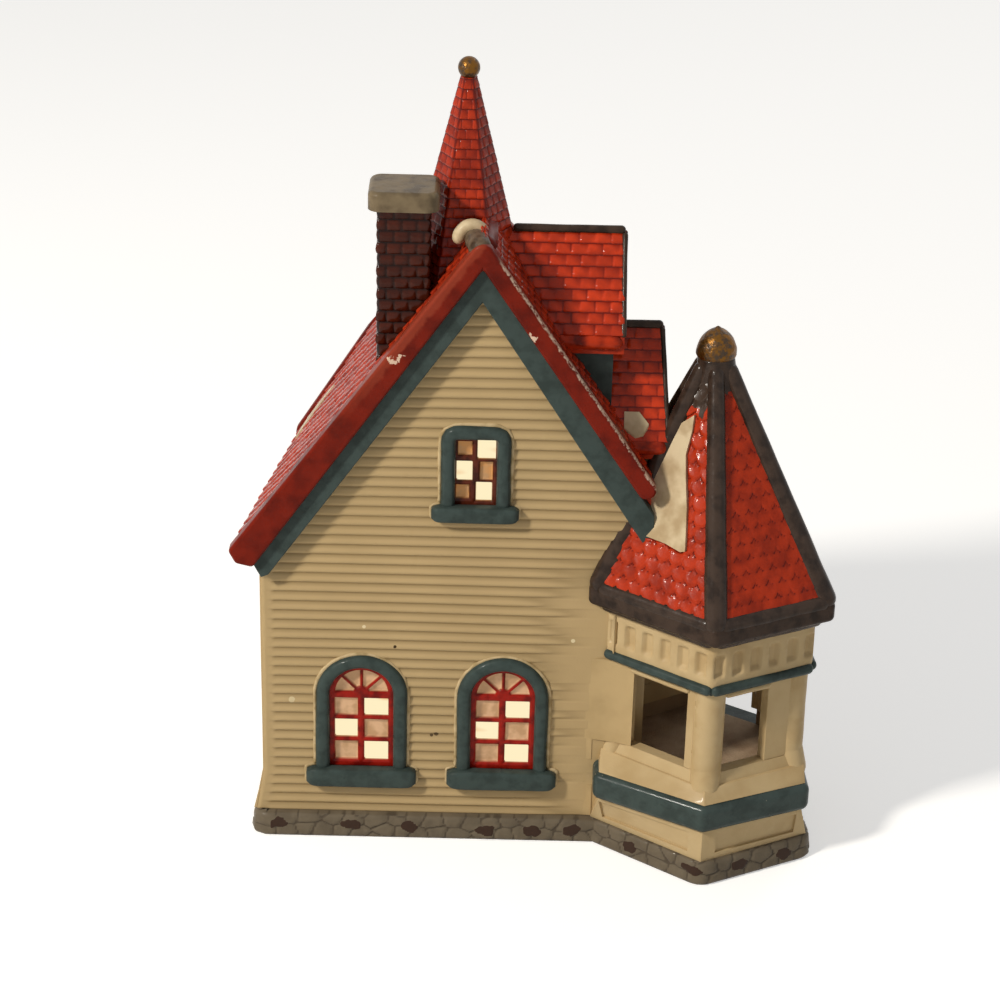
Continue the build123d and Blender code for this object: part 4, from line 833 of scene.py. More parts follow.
class VILLAGE_OT_board_walls(BuildStep, bpy.types.Operator):
    """Lays the lap boards over the four walls and the side gable"""
    bl_idname = "village.board_walls"
    bl_label = "Lap Boards"

    CELLS, CORNER_STRIP, CASING_LAP = 86, 0.6, 1.4

    def boards(self, sizes, top):
        """Pitch and rise of the boards, and the heights of their points up to top."""
        pitch = sizes.board_pitch * MM
        return pitch, sizes.board_rise * MM, course_levels(STONE_TOP, top, pitch, LAP_STEPS)

    def away_from_windows(self, points):
        """Which cells of the front sheet lie outside the casings of the three windows."""
        x, _, z = np.moveaxis(cell_middles(points), -1, 0)
        keep = np.ones(x.shape, bool)
        for centre in LOW_WINDOWS:
            edge = LOW_HALF + CASING_WIDTH - self.CASING_LAP
            beside = (np.abs(x - centre) < edge) & (z > LOW_BASE - 3.0) & (z < LOW_SPRING)
            keep &= ~(beside | (np.hypot(x - centre, z - LOW_SPRING) < edge))
        edge = HIGH_HALF + CASING_WIDTH - self.CASING_LAP
        over = HIGH_TOP + CASING_WIDTH - self.CASING_LAP
        return keep & ~((np.abs(x - HIGH_WINDOW) < edge) & (z > HIGH_BASE - 3.0) & (z < over))

    def front(self, sizes, material):
        """Front wall: x runs between two edge lines that depend on z; y is set by the boards, which
        fade beside the turret, below its shoulder, course by course."""
        pitch, rise, levels = self.boards(sizes, FRONT_LEFT_EDGE[-1][0])
        left = edge_at(levels, FRONT_LEFT_EDGE)
        right = edge_at(levels, FRONT_RIGHT_EDGE)
        x = left + (right - left) * np.linspace(0.0, 1.0, self.CELLS)[:, None]
        z = np.broadcast_to(levels, x.shape)
        ragged = x + 9.0 * (scatter(np.floor(z / pitch), 0.0 * z, 6.0) - 0.5)
        below = 1.0 - ease(z, 72.0, 100.0)
        fade = 1.0 - 0.85 * ease(ragged, 13.0, 32.0) * below - 0.15 * ease(x, 31.0, 37.0)
        board_edge = ease(x, left + 2.4, left + 3.0)
        shape = lap(z, pitch) * fade * board_edge + self.CORNER_STRIP * (1.0 - board_edge)
        shape = np.maximum(shape, 0.4 * ease(ragged, 20.0, 36.0) * below)
        out = OVER_WALL + rise * shape + 0.06 * waver(x, z, 14.0, 2.0)
        bend = 0.22 * waver(x, z, 24.0, 4.0) * ease(z, STONE_TOP, STONE_TOP + 4.0)
        points = np.stack([x, -out, z + bend], axis=-1)
        level_points = np.stack([x, -out, z], axis=-1)
        relief_sheet("front_lap_boards", points, np.maximum(shape, 0.75 * (1.0 - fade)), material,
                     "cream_glaze", 0.5, self.away_from_windows(level_points))

    def side(self, corners, sizes):
        """Plain side wall: the boards stand off the wall's plane, between two plain corner strips."""
        length, height = panel_axes(corners)[2:]
        base = corners[0][2]
        pitch, rise, levels = self.boards(sizes, base + height)
        columns = np.linspace(0.0, 1.0, int(length / 1.6) + 2)
        points, across, up, normal = panel(corners, columns, levels - base)
        margin = np.minimum(ease(across, 2.0, 2.6), ease(length - across, 2.0, 2.6))
        shape = lap(points[..., 2], pitch) * margin + self.CORNER_STRIP * (1.0 - margin)
        out = OVER_WALL + rise * shape + 0.05 * waver(across, up, 14.0, 5.0)
        return points + out[..., None] * normal, shape

    def clear_of_turret(self, points):
        """Which cells of a sheet lie behind the turret or over its shoulder."""
        cell = cell_middles(points)
        return (cell[..., 1] > TURRET_BACK) | (cell[..., 2] > TURRET_SHOULDER)

    def execute(self, context):
        """Each wall in turn; the left one spreads a little at its foot."""
        sizes, colours = self.settings(context)
        material = cream_boards(colours)
        self.front(sizes, material)
        corners = [(WALL_LEFT_BACK, WALL_DEPTH, STONE_TOP), (WALL_LEFT_FRONT, 0.0, STONE_TOP),
                   (WALL_LEFT_FRONT, 0.0, LEFT_WALL_TOP), (WALL_LEFT_BACK, WALL_DEPTH, LEFT_WALL_TOP)]
        points, shape = self.side(corners, sizes)
        under_flare = (FOOT_FLARE_TOP - points[..., 2]) / (FOOT_FLARE_TOP - STONE_TOP)
        points[..., 0] -= 2.4 * np.clip(under_flare, 0.0, 1.0)
        relief_sheet("left_lap_boards", points, shape, material, "cream_glaze", 0.5)
        corners = [(WALL_RIGHT, 0.4, STONE_TOP), (WALL_RIGHT, WALL_DEPTH, STONE_TOP),
                   (WALL_RIGHT, WALL_DEPTH, RIGHT_WALL_TOP), (WALL_RIGHT, 0.4, RIGHT_WALL_TOP)]
        points, shape = self.side(corners, sizes)
        relief_sheet("right_lap_boards", points, shape, material, "cream_glaze", 0.5,
                     self.clear_of_turret(points))
        self.back(sizes, material)
        self.wing(sizes, material)
        return {"FINISHED"}

    def back(self, sizes, material):
        """Back wall: the same boards under the clipped gable, open round the lamp's hole."""
        pitch, rise, levels = self.boards(sizes, BACK_LEFT_EDGE[-1][0])
        left = edge_at(levels, BACK_LEFT_EDGE)
        right = edge_at(levels, BACK_RIGHT_EDGE)
        x = right + (left - right) * np.linspace(0.0, 1.0, 90)[:, None]
        z = np.broadcast_to(levels, x.shape)
        shape = lap(z, pitch)
        out = OVER_WALL + rise * shape + 0.06 * waver(x, z, 14.0, 7.0)
        points = np.stack([x, WALL_DEPTH + np.minimum(out, 0.6), z], axis=-1)
        keep = np.hypot(cell_middles(x) - LAMP_X, cell_middles(z) - LAMP_Z) > LAMP_CLEARANCE
        relief_sheet("back_lap_boards", points, shape, material, "cream_glaze", 0.4, keep)

    def wing(self, sizes, material):
        """Side gable: boards between two edge lines that close in under its roof."""
        pitch, rise, levels = self.boards(sizes, WING_HALF_EDGE[-1][0])
        half = edge_at(levels, WING_HALF_EDGE)
        y = CROSS_Y - half + 2.0 * half * np.linspace(0.0, 1.0, 24)[:, None]
        z = np.broadcast_to(levels, y.shape)
        shape = lap(z, pitch)
        out = OVER_WALL + rise * shape + 0.05 * waver(y, z, 14.0, 8.0)
        points = np.stack([WING_FACE + out, y, z], axis=-1)
        relief_sheet("side_gable_lap_boards", points, shape, material, "cream_glaze", 0.5,
                     self.clear_of_turret(points))


class VILLAGE_OT_main_roof(BuildStep, bpy.types.Operator):
    """Lays the tiles on both main slopes and on the rear hip"""
    bl_idname = "village.main_roof"
    bl_label = "Main Roof Tiles"

    BOARD_CELLS, BOARD_SUNK, BOARD_WALL = 8, 0.05, 4.4

    def slope(self, name, sizes, material, eave_front, eave_back, flip, seed):
        """Slope between its eave line and the ridge, clipped at the back by the hip's plane. Gives a
        coarse grid of points just under the tiles."""
        length = math.hypot(RIDGE_X - eave_front[0], RIDGE_Z - eave_front[1])
        levels = course_levels(0.9, length, sizes.tile_course * MM, TILE_STEPS)
        share_up = (levels / length)[None, :]
        back_z = eave_back[1] + (RIDGE_Z - eave_back[1]) * share_up
        back_y = np.minimum(ROOF_BACK, HIP_TOP + (RIDGE_Z - back_z) / HIP_FALL)
        y = back_y + (ROOF_FRONT - back_y) * np.linspace(0.0, 1.0, 128)[:, None]
        run = (y - ROOF_FRONT) / (ROOF_BACK - ROOF_FRONT)
        eave_x = eave_front[0] + (eave_back[0] - eave_front[0]) * run
        eave_z = eave_front[1] + (eave_back[1] - eave_front[1]) * run
        x = eave_x + (RIDGE_X - eave_x) * share_up
        z = eave_z + (RIDGE_Z - eave_z) * share_up
        up = np.broadcast_to(levels[None, :], x.shape)
        relief = tile_relief(y, up, sizes, seed)
        out = OVER_CASTING + sizes.tile_rise * MM * relief + 0.12 * waver(y, up, 12.0, seed)
        slope_x = -(RIDGE_Z - eave_front[1]) / length * np.sign(RIDGE_X - eave_front[0])
        slope_z = abs(RIDGE_X - eave_front[0]) / length
        points = np.stack([x + out * slope_x, y, z + out * slope_z], axis=-1)
        if flip:
            points, relief = points[::-1], relief[::-1]
        relief_sheet(name, points, relief, material, "roof_red", TILE_WALL)
        rows, columns = (np.linspace(0, count - 1, self.BOARD_CELLS + 1).astype(int) for count in x.shape)
        under = np.stack([x, y, z], axis=-1)[rows][:, columns]
        return under - np.array([slope_x, 0.0, slope_z]) * self.BOARD_SUNK

    def execute(self, context):
        """The left slope also gets the board that its tiles lie on."""
        sizes, colours = self.settings(context)
        material = red_tiles(colours)
        under = self.slope("left_slope_tiles", sizes, material, LEFT_EAVE_FRONT, LEFT_EAVE_BACK, False, 1.0)
        board = make_piece("left_slope_board", under, sheet_faces(*under.shape[:2]),
                           plain_glaze("dark_red_paint_under_tiles", colours.rim, colours.rim_deep),
                           "roof_red", wall_mm=self.BOARD_WALL)
        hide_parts("left_roof_slope")
        self.slope("right_slope_tiles", sizes, material, RIGHT_EAVE, RIGHT_EAVE, True, 2.0)
        foot_z = RIDGE_Z - HIP_FALL * (ROOF_BACK - HIP_TOP)
        corners = [(31.6, ROOF_BACK, foot_z), (-26.6, ROOF_BACK, foot_z),
                   (1.3, HIP_TOP, RIDGE_Z), (1.7, HIP_TOP, RIDGE_Z)]
        tiled_panel("rear_hip_tiles", corners, material, sizes, sizes.tile_rise * MM, 3.0)
        return {"FINISHED"}


class VILLAGE_OT_cross_roofs(BuildStep, bpy.types.Operator):
    """Lays the tiles on the two cross gables"""
    bl_idname = "village.cross_roofs"
    bl_label = "Cross Roof Tiles"

    def roof(self, name, inner_x, eave_x, ridge_x, half, eave_z, ridge_z, material, sizes, rise, seed):
        """Both slopes of one cross gable, from its eaves to beside its ridge bar."""
        for k, (face, side) in enumerate((("front", -1.0), ("back", 1.0))):
            eave_y = CROSS_Y + half * side
            ridge_y = CROSS_Y + 0.6 * side
            corners = [(inner_x, eave_y, eave_z), (eave_x, eave_y, eave_z),
                       (ridge_x, ridge_y, ridge_z), (inner_x, ridge_y, ridge_z)]
            if side > 0.0:
                corners = [corners[place] for place in (1, 0, 3, 2)]
            tiled_panel(f"{name}_{face}_tiles", corners, material, sizes, rise, seed + k)

    def execute(self, context):
        """The dormer's two slopes and the wing's, whose tiles are flatter."""
        sizes = self.settings(context)[0]
        # The cross roofs' red is lighter than the main roof's: painted light, standing in for the brighter
        # light on their slopes.
        material = relief_glaze("red_glaze_with_painted_light_on_cross_roofs", linear("#CC3D1A"), linear("#6A160B"),
                                0.4, 6.0, 0.05, 0.6, rough=(0.2, 0.34), brush_mm=2.2, coat=0.14)
        rise = sizes.tile_rise * MM
        self.roof("dormer", 2.0, 38.7, 38.7, 16.5, 150.9, 173.6, material, sizes, rise, 4.0)
        self.roof("wing", 24.0, 51.9, 49.7, 17.5, 121.2, 147.2, material, sizes, rise * 0.45, 6.0)
        return {"FINISHED"}


class VILLAGE_OT_roof_edges(BuildStep, bpy.types.Operator):
    """Makes the ridge cap, the ridge bars, the painted verges and the rounded eaves"""
    bl_idname = "village.roof_edges"
    bl_label = "Ridges and Verges"

    # Bars of the cross roofs: roof, edge, radius, seed, and both ends as x, distance from the ridge and z
    EDGES = (("dormer", "verge", 0.75, 4.0, ((38.5, 16.3, 150.6), (38.5, 0.6, 174.0))),
             ("wing", "verge", 0.7, 5.0, ((51.6, 17.3, 121.2), (49.6, 0.6, 147.4))),
             ("dormer", "eave", 2.1, 6.0, ((3.0, 15.9, 149.2), (38.4, 15.9, 149.2))),
             ("wing", "eave", 2.0, 7.0, ((36.5, 17.0, 119.6), (51.4, 17.0, 119.6))))

    def execute(self, context):
        """A lump and a snow collar on the main ridge, then round bars on the cross roofs' edges."""
        colours = self.settings(context)[1]
        brown = plain_glaze("dark_brown_paint_on_ridges", colours.brown, colours.brown_deep, 4.0,
                            rough=(0.2, 0.34), brush=0.1, brush_mm=2.6)
        worn = plain_glaze("worn_brown_paint_on_cap", linear("#6A5847"), linear("#3B2C20"), 2.2,
                           rough=(0.25, 0.4), brush=0.16, brush_mm=2.0)
        red = plain_glaze("red_gloss_glaze_on_eaves", colours.red, colours.red_deep, 5.0, rough=(0.18, 0.3))
        cap = tube("ridge_cap_lump", [(1.0, -5.6, 178.3), (0.2, 0.0, 178.2), (-1.0, 6.5, 177.0)],
                   (3.1, 3.1, 2.9), worn, "stone_grey", 0.1, seed=2.0)
        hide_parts("ridge_cap")
        snow = plain_glaze("off_white_snow_collar", colours.snow, linear("#B49D7A"), 4.0, rough=(0.26, 0.4))
        turn = np.linspace(math.radians(205.0), math.radians(-25.0), 30)
        arch = [(-1.6 + 3.3 * math.cos(t), 6.6 + 0.5 * math.sin(t), 176.9 + 3.3 * math.sin(t)) for t in turn]
        collar = tube("spire_snow_collar", arch, (1.9, 2.0, 1.7), snow, "snow_glaze", 0.08, seed=5.0)
        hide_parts("spire_snow")
        bar = tube("dormer_ridge_bar", [(9.0, CROSS_Y, 174.5), (38.7, CROSS_Y, 174.5)], (1.15, 1.15), brown,
                   "brown_glaze", 0.05)
        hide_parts("dormer_ridge_cap")
        bar = tube("wing_ridge_bar", [(36.0, CROSS_Y, 147.9), (49.9, CROSS_Y, 147.9)], (1.2, 1.2), brown,
                   "brown_glaze", 0.05, seed=3.0)
        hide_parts("wing_ridge_cap")
        coats = {"verge": (brown, "brown_glaze", 0.1, 12), "eave": (red, "roof_red", 0.03, 22)}
        for face, side in (("front", -1.0), ("back", 1.0)):
            for roof, edge, radius, seed, line in self.EDGES:
                path = [(x, CROSS_Y + away * side, z) for x, away, z in line]
                tube(f"{roof}_{face}_{edge}", path, (radius, radius), *coats[edge], seed)
        return {"FINISHED"}


class VILLAGE_OT_spire(BuildStep, bpy.types.Operator):
    """Makes the tiled spire"""
    bl_idname = "village.spire"
    bl_label = "Spire"

    def execute(self, context):
        """Six-sided taper: at each level the corner radius is the taper's plus the tiles' height."""
        sizes, colours = self.settings(context)
        course = sizes.spire_course * MM
        low_z = 147.0
        levels = course_levels(low_z, SPIRE_TOP, course, TILE_STEPS)
        per_side = 44
        share = np.arange(per_side * 6) / per_side
        side = np.floor(share)
        part = share - side
        angle0 = np.radians(60.0 * side)
        angle1 = np.radians(60.0 * (side + 1))
        unit_x = np.cos(angle0) * (1 - part) + np.cos(angle1) * part
        unit_y = np.sin(angle0) * (1 - part) + np.sin(angle1) * part
        radius = SPIRE_TAPER * (SPIRE_TIP - levels)[:, None]
        across = (part - 0.5)[None, :] * radius + 40.0 * side[None, :]
        up = np.broadcast_to(levels[:, None], across.shape)
        height_share = tiles(across, up, 2.9, course, 8.0)
        corner = np.minimum(part, 1.0 - part)[None, :] * radius
        height_share = height_share * (0.35 + 0.65 * ease(corner, 0.1, 0.7))
        out = (-0.42 + 0.42 * height_share) / math.cos(math.radians(30.0))
        x = SPIRE_X + (radius + out) * unit_x
        y = CROSS_Y + (radius + out) * unit_y
        rings = np.stack([x, y, up], axis=-1)
        piece = ring_piece("spire_tiles", rings[::-1], red_tiles(colours), slot="roof_red",
                           values={"relief": height_share[::-1]})
        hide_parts("spire_shell")
        return {"FINISHED"}


class VILLAGE_OT_chimney(BuildStep, bpy.types.Operator):
    """Makes the brick chimney stack"""
    bl_idname = "village.chimney"
    bl_label = "Chimney"

    def execute(self, context):
        """Rectangle in plan carried up; each point moves out by the bricks' height, square to its side."""
        sizes, colours = self.settings(context)
        length = sizes.brick_length * MM
        course = sizes.brick_course * MM
        half = np.array([(CHIMNEY_RIGHT - CHIMNEY_LEFT) / 2.0, (CHIMNEY_BACK - CHIMNEY_FRONT) / 2.0])
        centre = np.array([(CHIMNEY_RIGHT + CHIMNEY_LEFT) / 2.0, (CHIMNEY_BACK + CHIMNEY_FRONT) / 2.0])
        brick_rise = 0.8
        half = half - brick_rise
        corners = np.array([(-1, -1), (1, -1), (1, 1), (-1, 1)]) * half
        per_side = 38
        share = np.arange(4 * per_side) / per_side
        side = np.floor(share).astype(int)
        part = (share - side)[:, None]
        plan = corners[side] * (1 - part) + corners[(side + 1) % 4] * part
        outward = np.where(np.isclose(np.abs(plan), half), np.sign(plan), 0.0)
        lengths = np.linalg.norm(corners[(np.arange(4) + 1) % 4] - corners, axis=1)
        before = np.concatenate([[0.0], np.cumsum(lengths)[:-1]])
        around = before[side] + part[:, 0] * lengths[side]
        around = around * (round(lengths.sum() / length) * length / lengths.sum())
        levels = course_levels(138.0, 185.4, course, (0.0, 0.08, 0.2, 0.5, 0.8, 0.92))
        up = np.broadcast_to(levels[:, None], (len(levels), len(around)))
        height_share = bricks(np.broadcast_to(around, up.shape), up + 0.12 * waver(around, up, 8.0, 3.0),
                              length, course, 9.0)
        out = brick_rise * height_share
        x = centre[0] + plan[:, 0] + out * outward[:, 0]
        y = centre[1] + plan[:, 1] + out * outward[:, 1]
        rings = np.stack([x, y, up], axis=-1)
        material = relief_glaze("brown_gloss_glaze_on_bricks", colours.brick, colours.brick_deep, 0.4, 4.0,
                                rough=(0.12, 0.2), coat=0.14)
        piece = ring_piece("chimney_bricks", rings[::-1], material, slot="brick_brown",
                           values={"relief": height_share[::-1]})
        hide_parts("chimney_stack")
        return {"FINISHED"}


def turret_ring(radius, lean=0.0):
    """Corners of the turret in plan, in the layout, for a corner radius."""
    angles = np.radians([angle for angle, _ in TURRET_CORNERS])
    shares = np.array([share for _, share in TURRET_CORNERS])
    x = radius * shares * np.cos(angles) + lean
    y = radius * shares * np.sin(angles)
    cos, sin = math.cos(TURRET_TURN), math.sin(TURRET_TURN)
    return np.stack([TURRET_X + x * cos - y * sin, TURRET_Y + x * sin + y * cos], axis=-1)


def tip_share(height):
    """Share of the way up the turret roof, from its foot to its tip."""
    return (height - TURRET_FOOT) / (TURRET_TIP - TURRET_FOOT)


class VILLAGE_OT_turret_roof(BuildStep, bpy.types.Operator):
    """Lays the scales on the turret's six roof sides"""
    bl_idname = "village.turret_roof"
    bl_label = "Turret Roof Scales"

    def execute(self, context):
        """Each side is a flat panel between two rings of corners; scales stand off along its normal."""
        sizes, colours = self.settings(context)
        material = turret_scales_paint(colours)
        width = sizes.scale_width * MM
        course = sizes.scale_course * MM
        top_z = 141.0
        top = tip_share(top_z)
        low = turret_ring(TURRET_ROOF_R)
        high = turret_ring(TURRET_ROOF_R * (1.0 - top), TURRET_LEAN * top)
        for side in range(6):
            after = (side + 1) % 6
            corners = [(*low[side], TURRET_FOOT), (*low[after], TURRET_FOOT), (*high[after], top_z),
                       (*high[side], top_z)]
            length, height = panel_axes(corners)[2:]
            columns = np.linspace(0.0, 1.0, int(length / 0.42) + 2)
            levels = np.arange(0.0, height, course / 8.0)
            points, across, up, normal = panel(corners, columns, levels)
            across = across - length / 2.0
            slant = across + (0.35 * width * np.sin(up / 7.0 + side) if side != 1 else 0.0)
            height_share = scales(slant, up, width, course, 10.0 + side)
            if side == 0:
                level = length / 2.0 - across
                height_share = np.where(within(level, points[..., 2], SNOW_OUTLINE), -0.35, height_share)
            rise = sizes.scale_rise * MM * (0.3 if side == 1 else 1.0)
            out = 0.05 + rise * height_share
            points = points + out[..., None] * normal
            relief_sheet(f"turret_scales_{side}", points, height_share, material, "roof_red", 0.6)
        return {"FINISHED"}


class VILLAGE_OT_turret_ribs(BuildStep, bpy.types.Operator):
    """Makes the round ribs on the turret's hips and the collar where they meet"""
    bl_idname = "village.turret_ribs"
    bl_label = "Turret Ribs"

    def execute(self, context):
        """A round bar sunk into each hip; a collar of rings that narrow up to the finial."""
        colours = self.settings(context)[1]
        material = plain_glaze("dark_brown_paint_on_ribs", colours.brown, colours.brown_deep, 4.0,
                               rough=(0.2, 0.34), brush=0.1, brush_mm=2.6, coat=0.16)
        top_z = 142.0
        top = tip_share(top_z)
        low = turret_ring(TURRET_ROOF_R - 0.9)
        high = turret_ring((TURRET_ROOF_R - 1.0) * (1.0 - top), TURRET_LEAN * top)
        for corner in range(6):
            rib = tube(f"turret_rib_{corner}", [(*low[corner], TURRET_FOOT - 2.6), (*high[corner], top_z)],
                       (3.3, 2.2), material, "brown_glaze", 0.025, 20, 8.0 + corner)
            if corner == 0:
                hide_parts("turret_ribs")
        eave, under = turret_ring(TURRET_ROOF_R - 1.3), turret_ring(TURRET_ROOF_R - 2.9)
        for corner in range(6):
            after = (corner + 1) % 6
            for name, ring, height, radius, lump, seed in (
                    ("moulding", eave, TURRET_FOOT - 0.5, 2.4, 0.03, 2.0),
                    ("roll", under, TURRET_FOOT - 6.0, 2.0, 0.04, 5.0)):
                tube(f"turret_eave_{name}_{corner}", [(*ring[corner], height), (*ring[after], height)],
                     (radius, radius), material, "brown_glaze", lump, 20, seed + corner)
        levels = np.linspace(0.0, 1.0, 14)[:, None]
        foot_z = 134.5
        z = foot_z + (FINIAL_FOOT + 0.4 - foot_z) * levels
        radius = 4.95 + 1.7 * (1.0 - levels) ** 1.3
        radius = radius * (1.0 + 0.05 * np.cos(6.0 * (circle(48) - math.radians(30.0))) * (1.0 - levels))
        turned("turret_rib_collar", TURRET_X + TURRET_LEAN * tip_share(z), TURRET_Y, radius, z, material,
               "brown_glaze")
        return {"FINISHED"}


def rounded_path(corners, radius, step, closed):
    """Points at one step along straight runs whose corners are curves through their cut-back ends.
    Gives the points, the directions outward and the distances along."""
    corners = np.array(corners, float)
    count = len(corners)
    points = []
    for k in range(count):
        if not closed and k in (0, count - 1):
            points.append(corners[k][None, :])
            continue
        here, before, after = corners[k], corners[k - 1], corners[(k + 1) % count]
        start = here + (before - here) / np.linalg.norm(before - here) * radius
        end = here + (after - here) / np.linalg.norm(after - here) * radius
        t = np.linspace(0.0, 1.0, 7)[:, None]
        points.append((1 - t) ** 2 * start + 2 * t * (1 - t) * here + t ** 2 * end)
    line = np.concatenate(points)
    if closed:
        line = np.concatenate([line, line[:1]])
    run = distances(line)
    at = np.linspace(0.0, run[-1], int(run[-1] / step) + 1)
    if closed:
        at = at[:-1]
    path = points_at(line, run, at)
    if closed:
        ahead = unit_rows(np.roll(path, -1, axis=0) - np.roll(path, 1, axis=0))
    else:
        ahead = unit_rows(np.gradient(path, axis=0))
    outward = np.stack([ahead[:, 1], -ahead[:, 0]], axis=-1)
    return path, outward, at


class VILLAGE_OT_stone_course(BuildStep, bpy.types.Operator):
    """Makes the stone course round the house and round the turret"""
    bl_idname = "village.stone_course"
    bl_label = "Stone Course"

    ROW_HEIGHT, RELIEF, STEP = 3.6, 0.45, 0.62
    # Stones left dark: distance along the course, from its left front corner or its start, and height
    HOUSE_ODD = ((3.4, 4.0), (24.3, 4.1), (40.9, 3.9), (62.0, 3.2), (75.0, 3.2), (86.5, 3.6),
                 (128.0, 3.4), (152.0, 3.8), (171.0, 3.3), (196.0, 3.7), (219.0, 3.4), (262.0, 3.6))
    TURRET_ODD = ((17.5, 3.6), (37.5, 4.4), (52.0, 3.6), (66.5, 3.6), (98.0, 3.6), (121.0, 3.8))

    def stones(self, along, up, size, seed):
        """Uneven stones: joints lie where the two nearest of a jittered grid of centres are equally far."""
        count = int(along.max() / size) + 2
        column, row = np.meshgrid(np.arange(-1, count), np.arange(-1, 3), indexing="ij")
        shift = 0.5 * np.mod(row, 2) + 0.62 * (scatter(column, row, seed) - 0.5)
        centre_a = (column + shift) * size
        centre_b = (row + 0.5 + 0.5 * (scatter(row, column, seed + 3) - 0.5)) * self.ROW_HEIGHT
        gap_a = (along.ravel()[:, None] - centre_a.ravel()[None, :]) / size
        gap_b = (up.ravel()[:, None] - centre_b.ravel()[None, :]) / self.ROW_HEIGHT
        gap = np.sort(np.sqrt(gap_a ** 2 + gap_b ** 2), axis=1)[:, :2]
        return ease((gap[:, 1] - gap[:, 0]).reshape(along.shape), 0.02, 0.2)

    def odd_stones(self, a, b, odd):
        """1 inside the rough outline of each dark stone, and 0 between them."""
        dark = np.zeros(a.shape)
        for centre_a, centre_b in odd:
            gap = np.sqrt(((a - centre_a) / 2.5) ** 2 + ((b - centre_b) / 1.7) ** 2)
            gap = gap + 0.34 * waver(a, b, 0.85, 3.0 + centre_a)
            dark = np.maximum(dark, 1.0 - ease(gap, 0.8, 1.1))
        return dark

    def band(self, name, plan, reach, top_z, inner, odd, closed, sizes, material):
        """Section carried along a plan: stones on its outer face, which is rounded at top and bottom."""
        path, outward, along = plan
        outer_z = np.concatenate([[0.0, 0.35], np.linspace(0.9, top_z - 0.9, 15), [top_z - 0.35, top_z]])
        outer_out = np.interp(outer_z, [0.0, 0.9, top_z - 0.9, top_z],
                              [reach[0] - 0.9, reach[0] - 0.25, reach[1] - 0.1, reach[1] - 0.9])
        a, b = np.meshgrid(along, outer_z, indexing="ij")
        dark = self.odd_stones(a, b, odd)
        shape = np.maximum(self.stones(a, b, sizes.stone_size * MM, 5.0 + top_z), dark)
        fade = ease(b, 0.0, 0.8) * ease(top_z - b, 0.0, 0.8)
        out = outer_out[None, :] - self.RELIEF + self.RELIEF * (shape * fade + (1 - fade))
        out = out + 0.1 * waver(a, b, 7.0, 1.0) * fade + 0.12 * dark
        rings = band_rings(path, outward, out, outer_z, inner)
        inner_face = np.ones((len(path), 2))
        values = {"relief": np.concatenate([shape, inner_face], axis=1),
                  "odd_stone": np.concatenate([dark, 0.0 * inner_face], axis=1)}
        return ring_piece(name, rings, material, closed, slot="stone_grey", values=values)

    def execute(self, context):
        """A closed course round the house, and an open one round the turret that ends in the house."""
        sizes, colours = self.settings(context)
        material = stone_paint(colours)
        corners = [(WALL_LEFT_FRONT, 0.0), (WALL_RIGHT, 0.0), (WALL_RIGHT, WALL_DEPTH),
                   (WALL_LEFT_BACK, WALL_DEPTH)]
        plan = rounded_path(corners, 0.8, self.STEP, True)
        path, _, along = plan
        start = along[np.argmin(np.hypot(path[:, 0] - WALL_LEFT_FRONT, path[:, 1]))]
        odd = [(start + distance, height) for distance, height in self.HOUSE_ODD]
        piece = self.band("house_stones", plan, (4.2, 3.4), STONE_TOP, 3.4, odd, True, sizes, material)
        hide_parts("house_foundation")
        corners = [(35.0, 1.5), *turret_ring(36.0)[:5], (46.3, 38.6)]
        plan = rounded_path(corners, 3.0, self.STEP, False)
        odd = self.TURRET_ODD
        piece = self.band("turret_stones", plan, (1.6, 0.8), 7.0, 3.8, odd, False, sizes, material)
        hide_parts("turret_foundation")
        return {"FINISHED"}


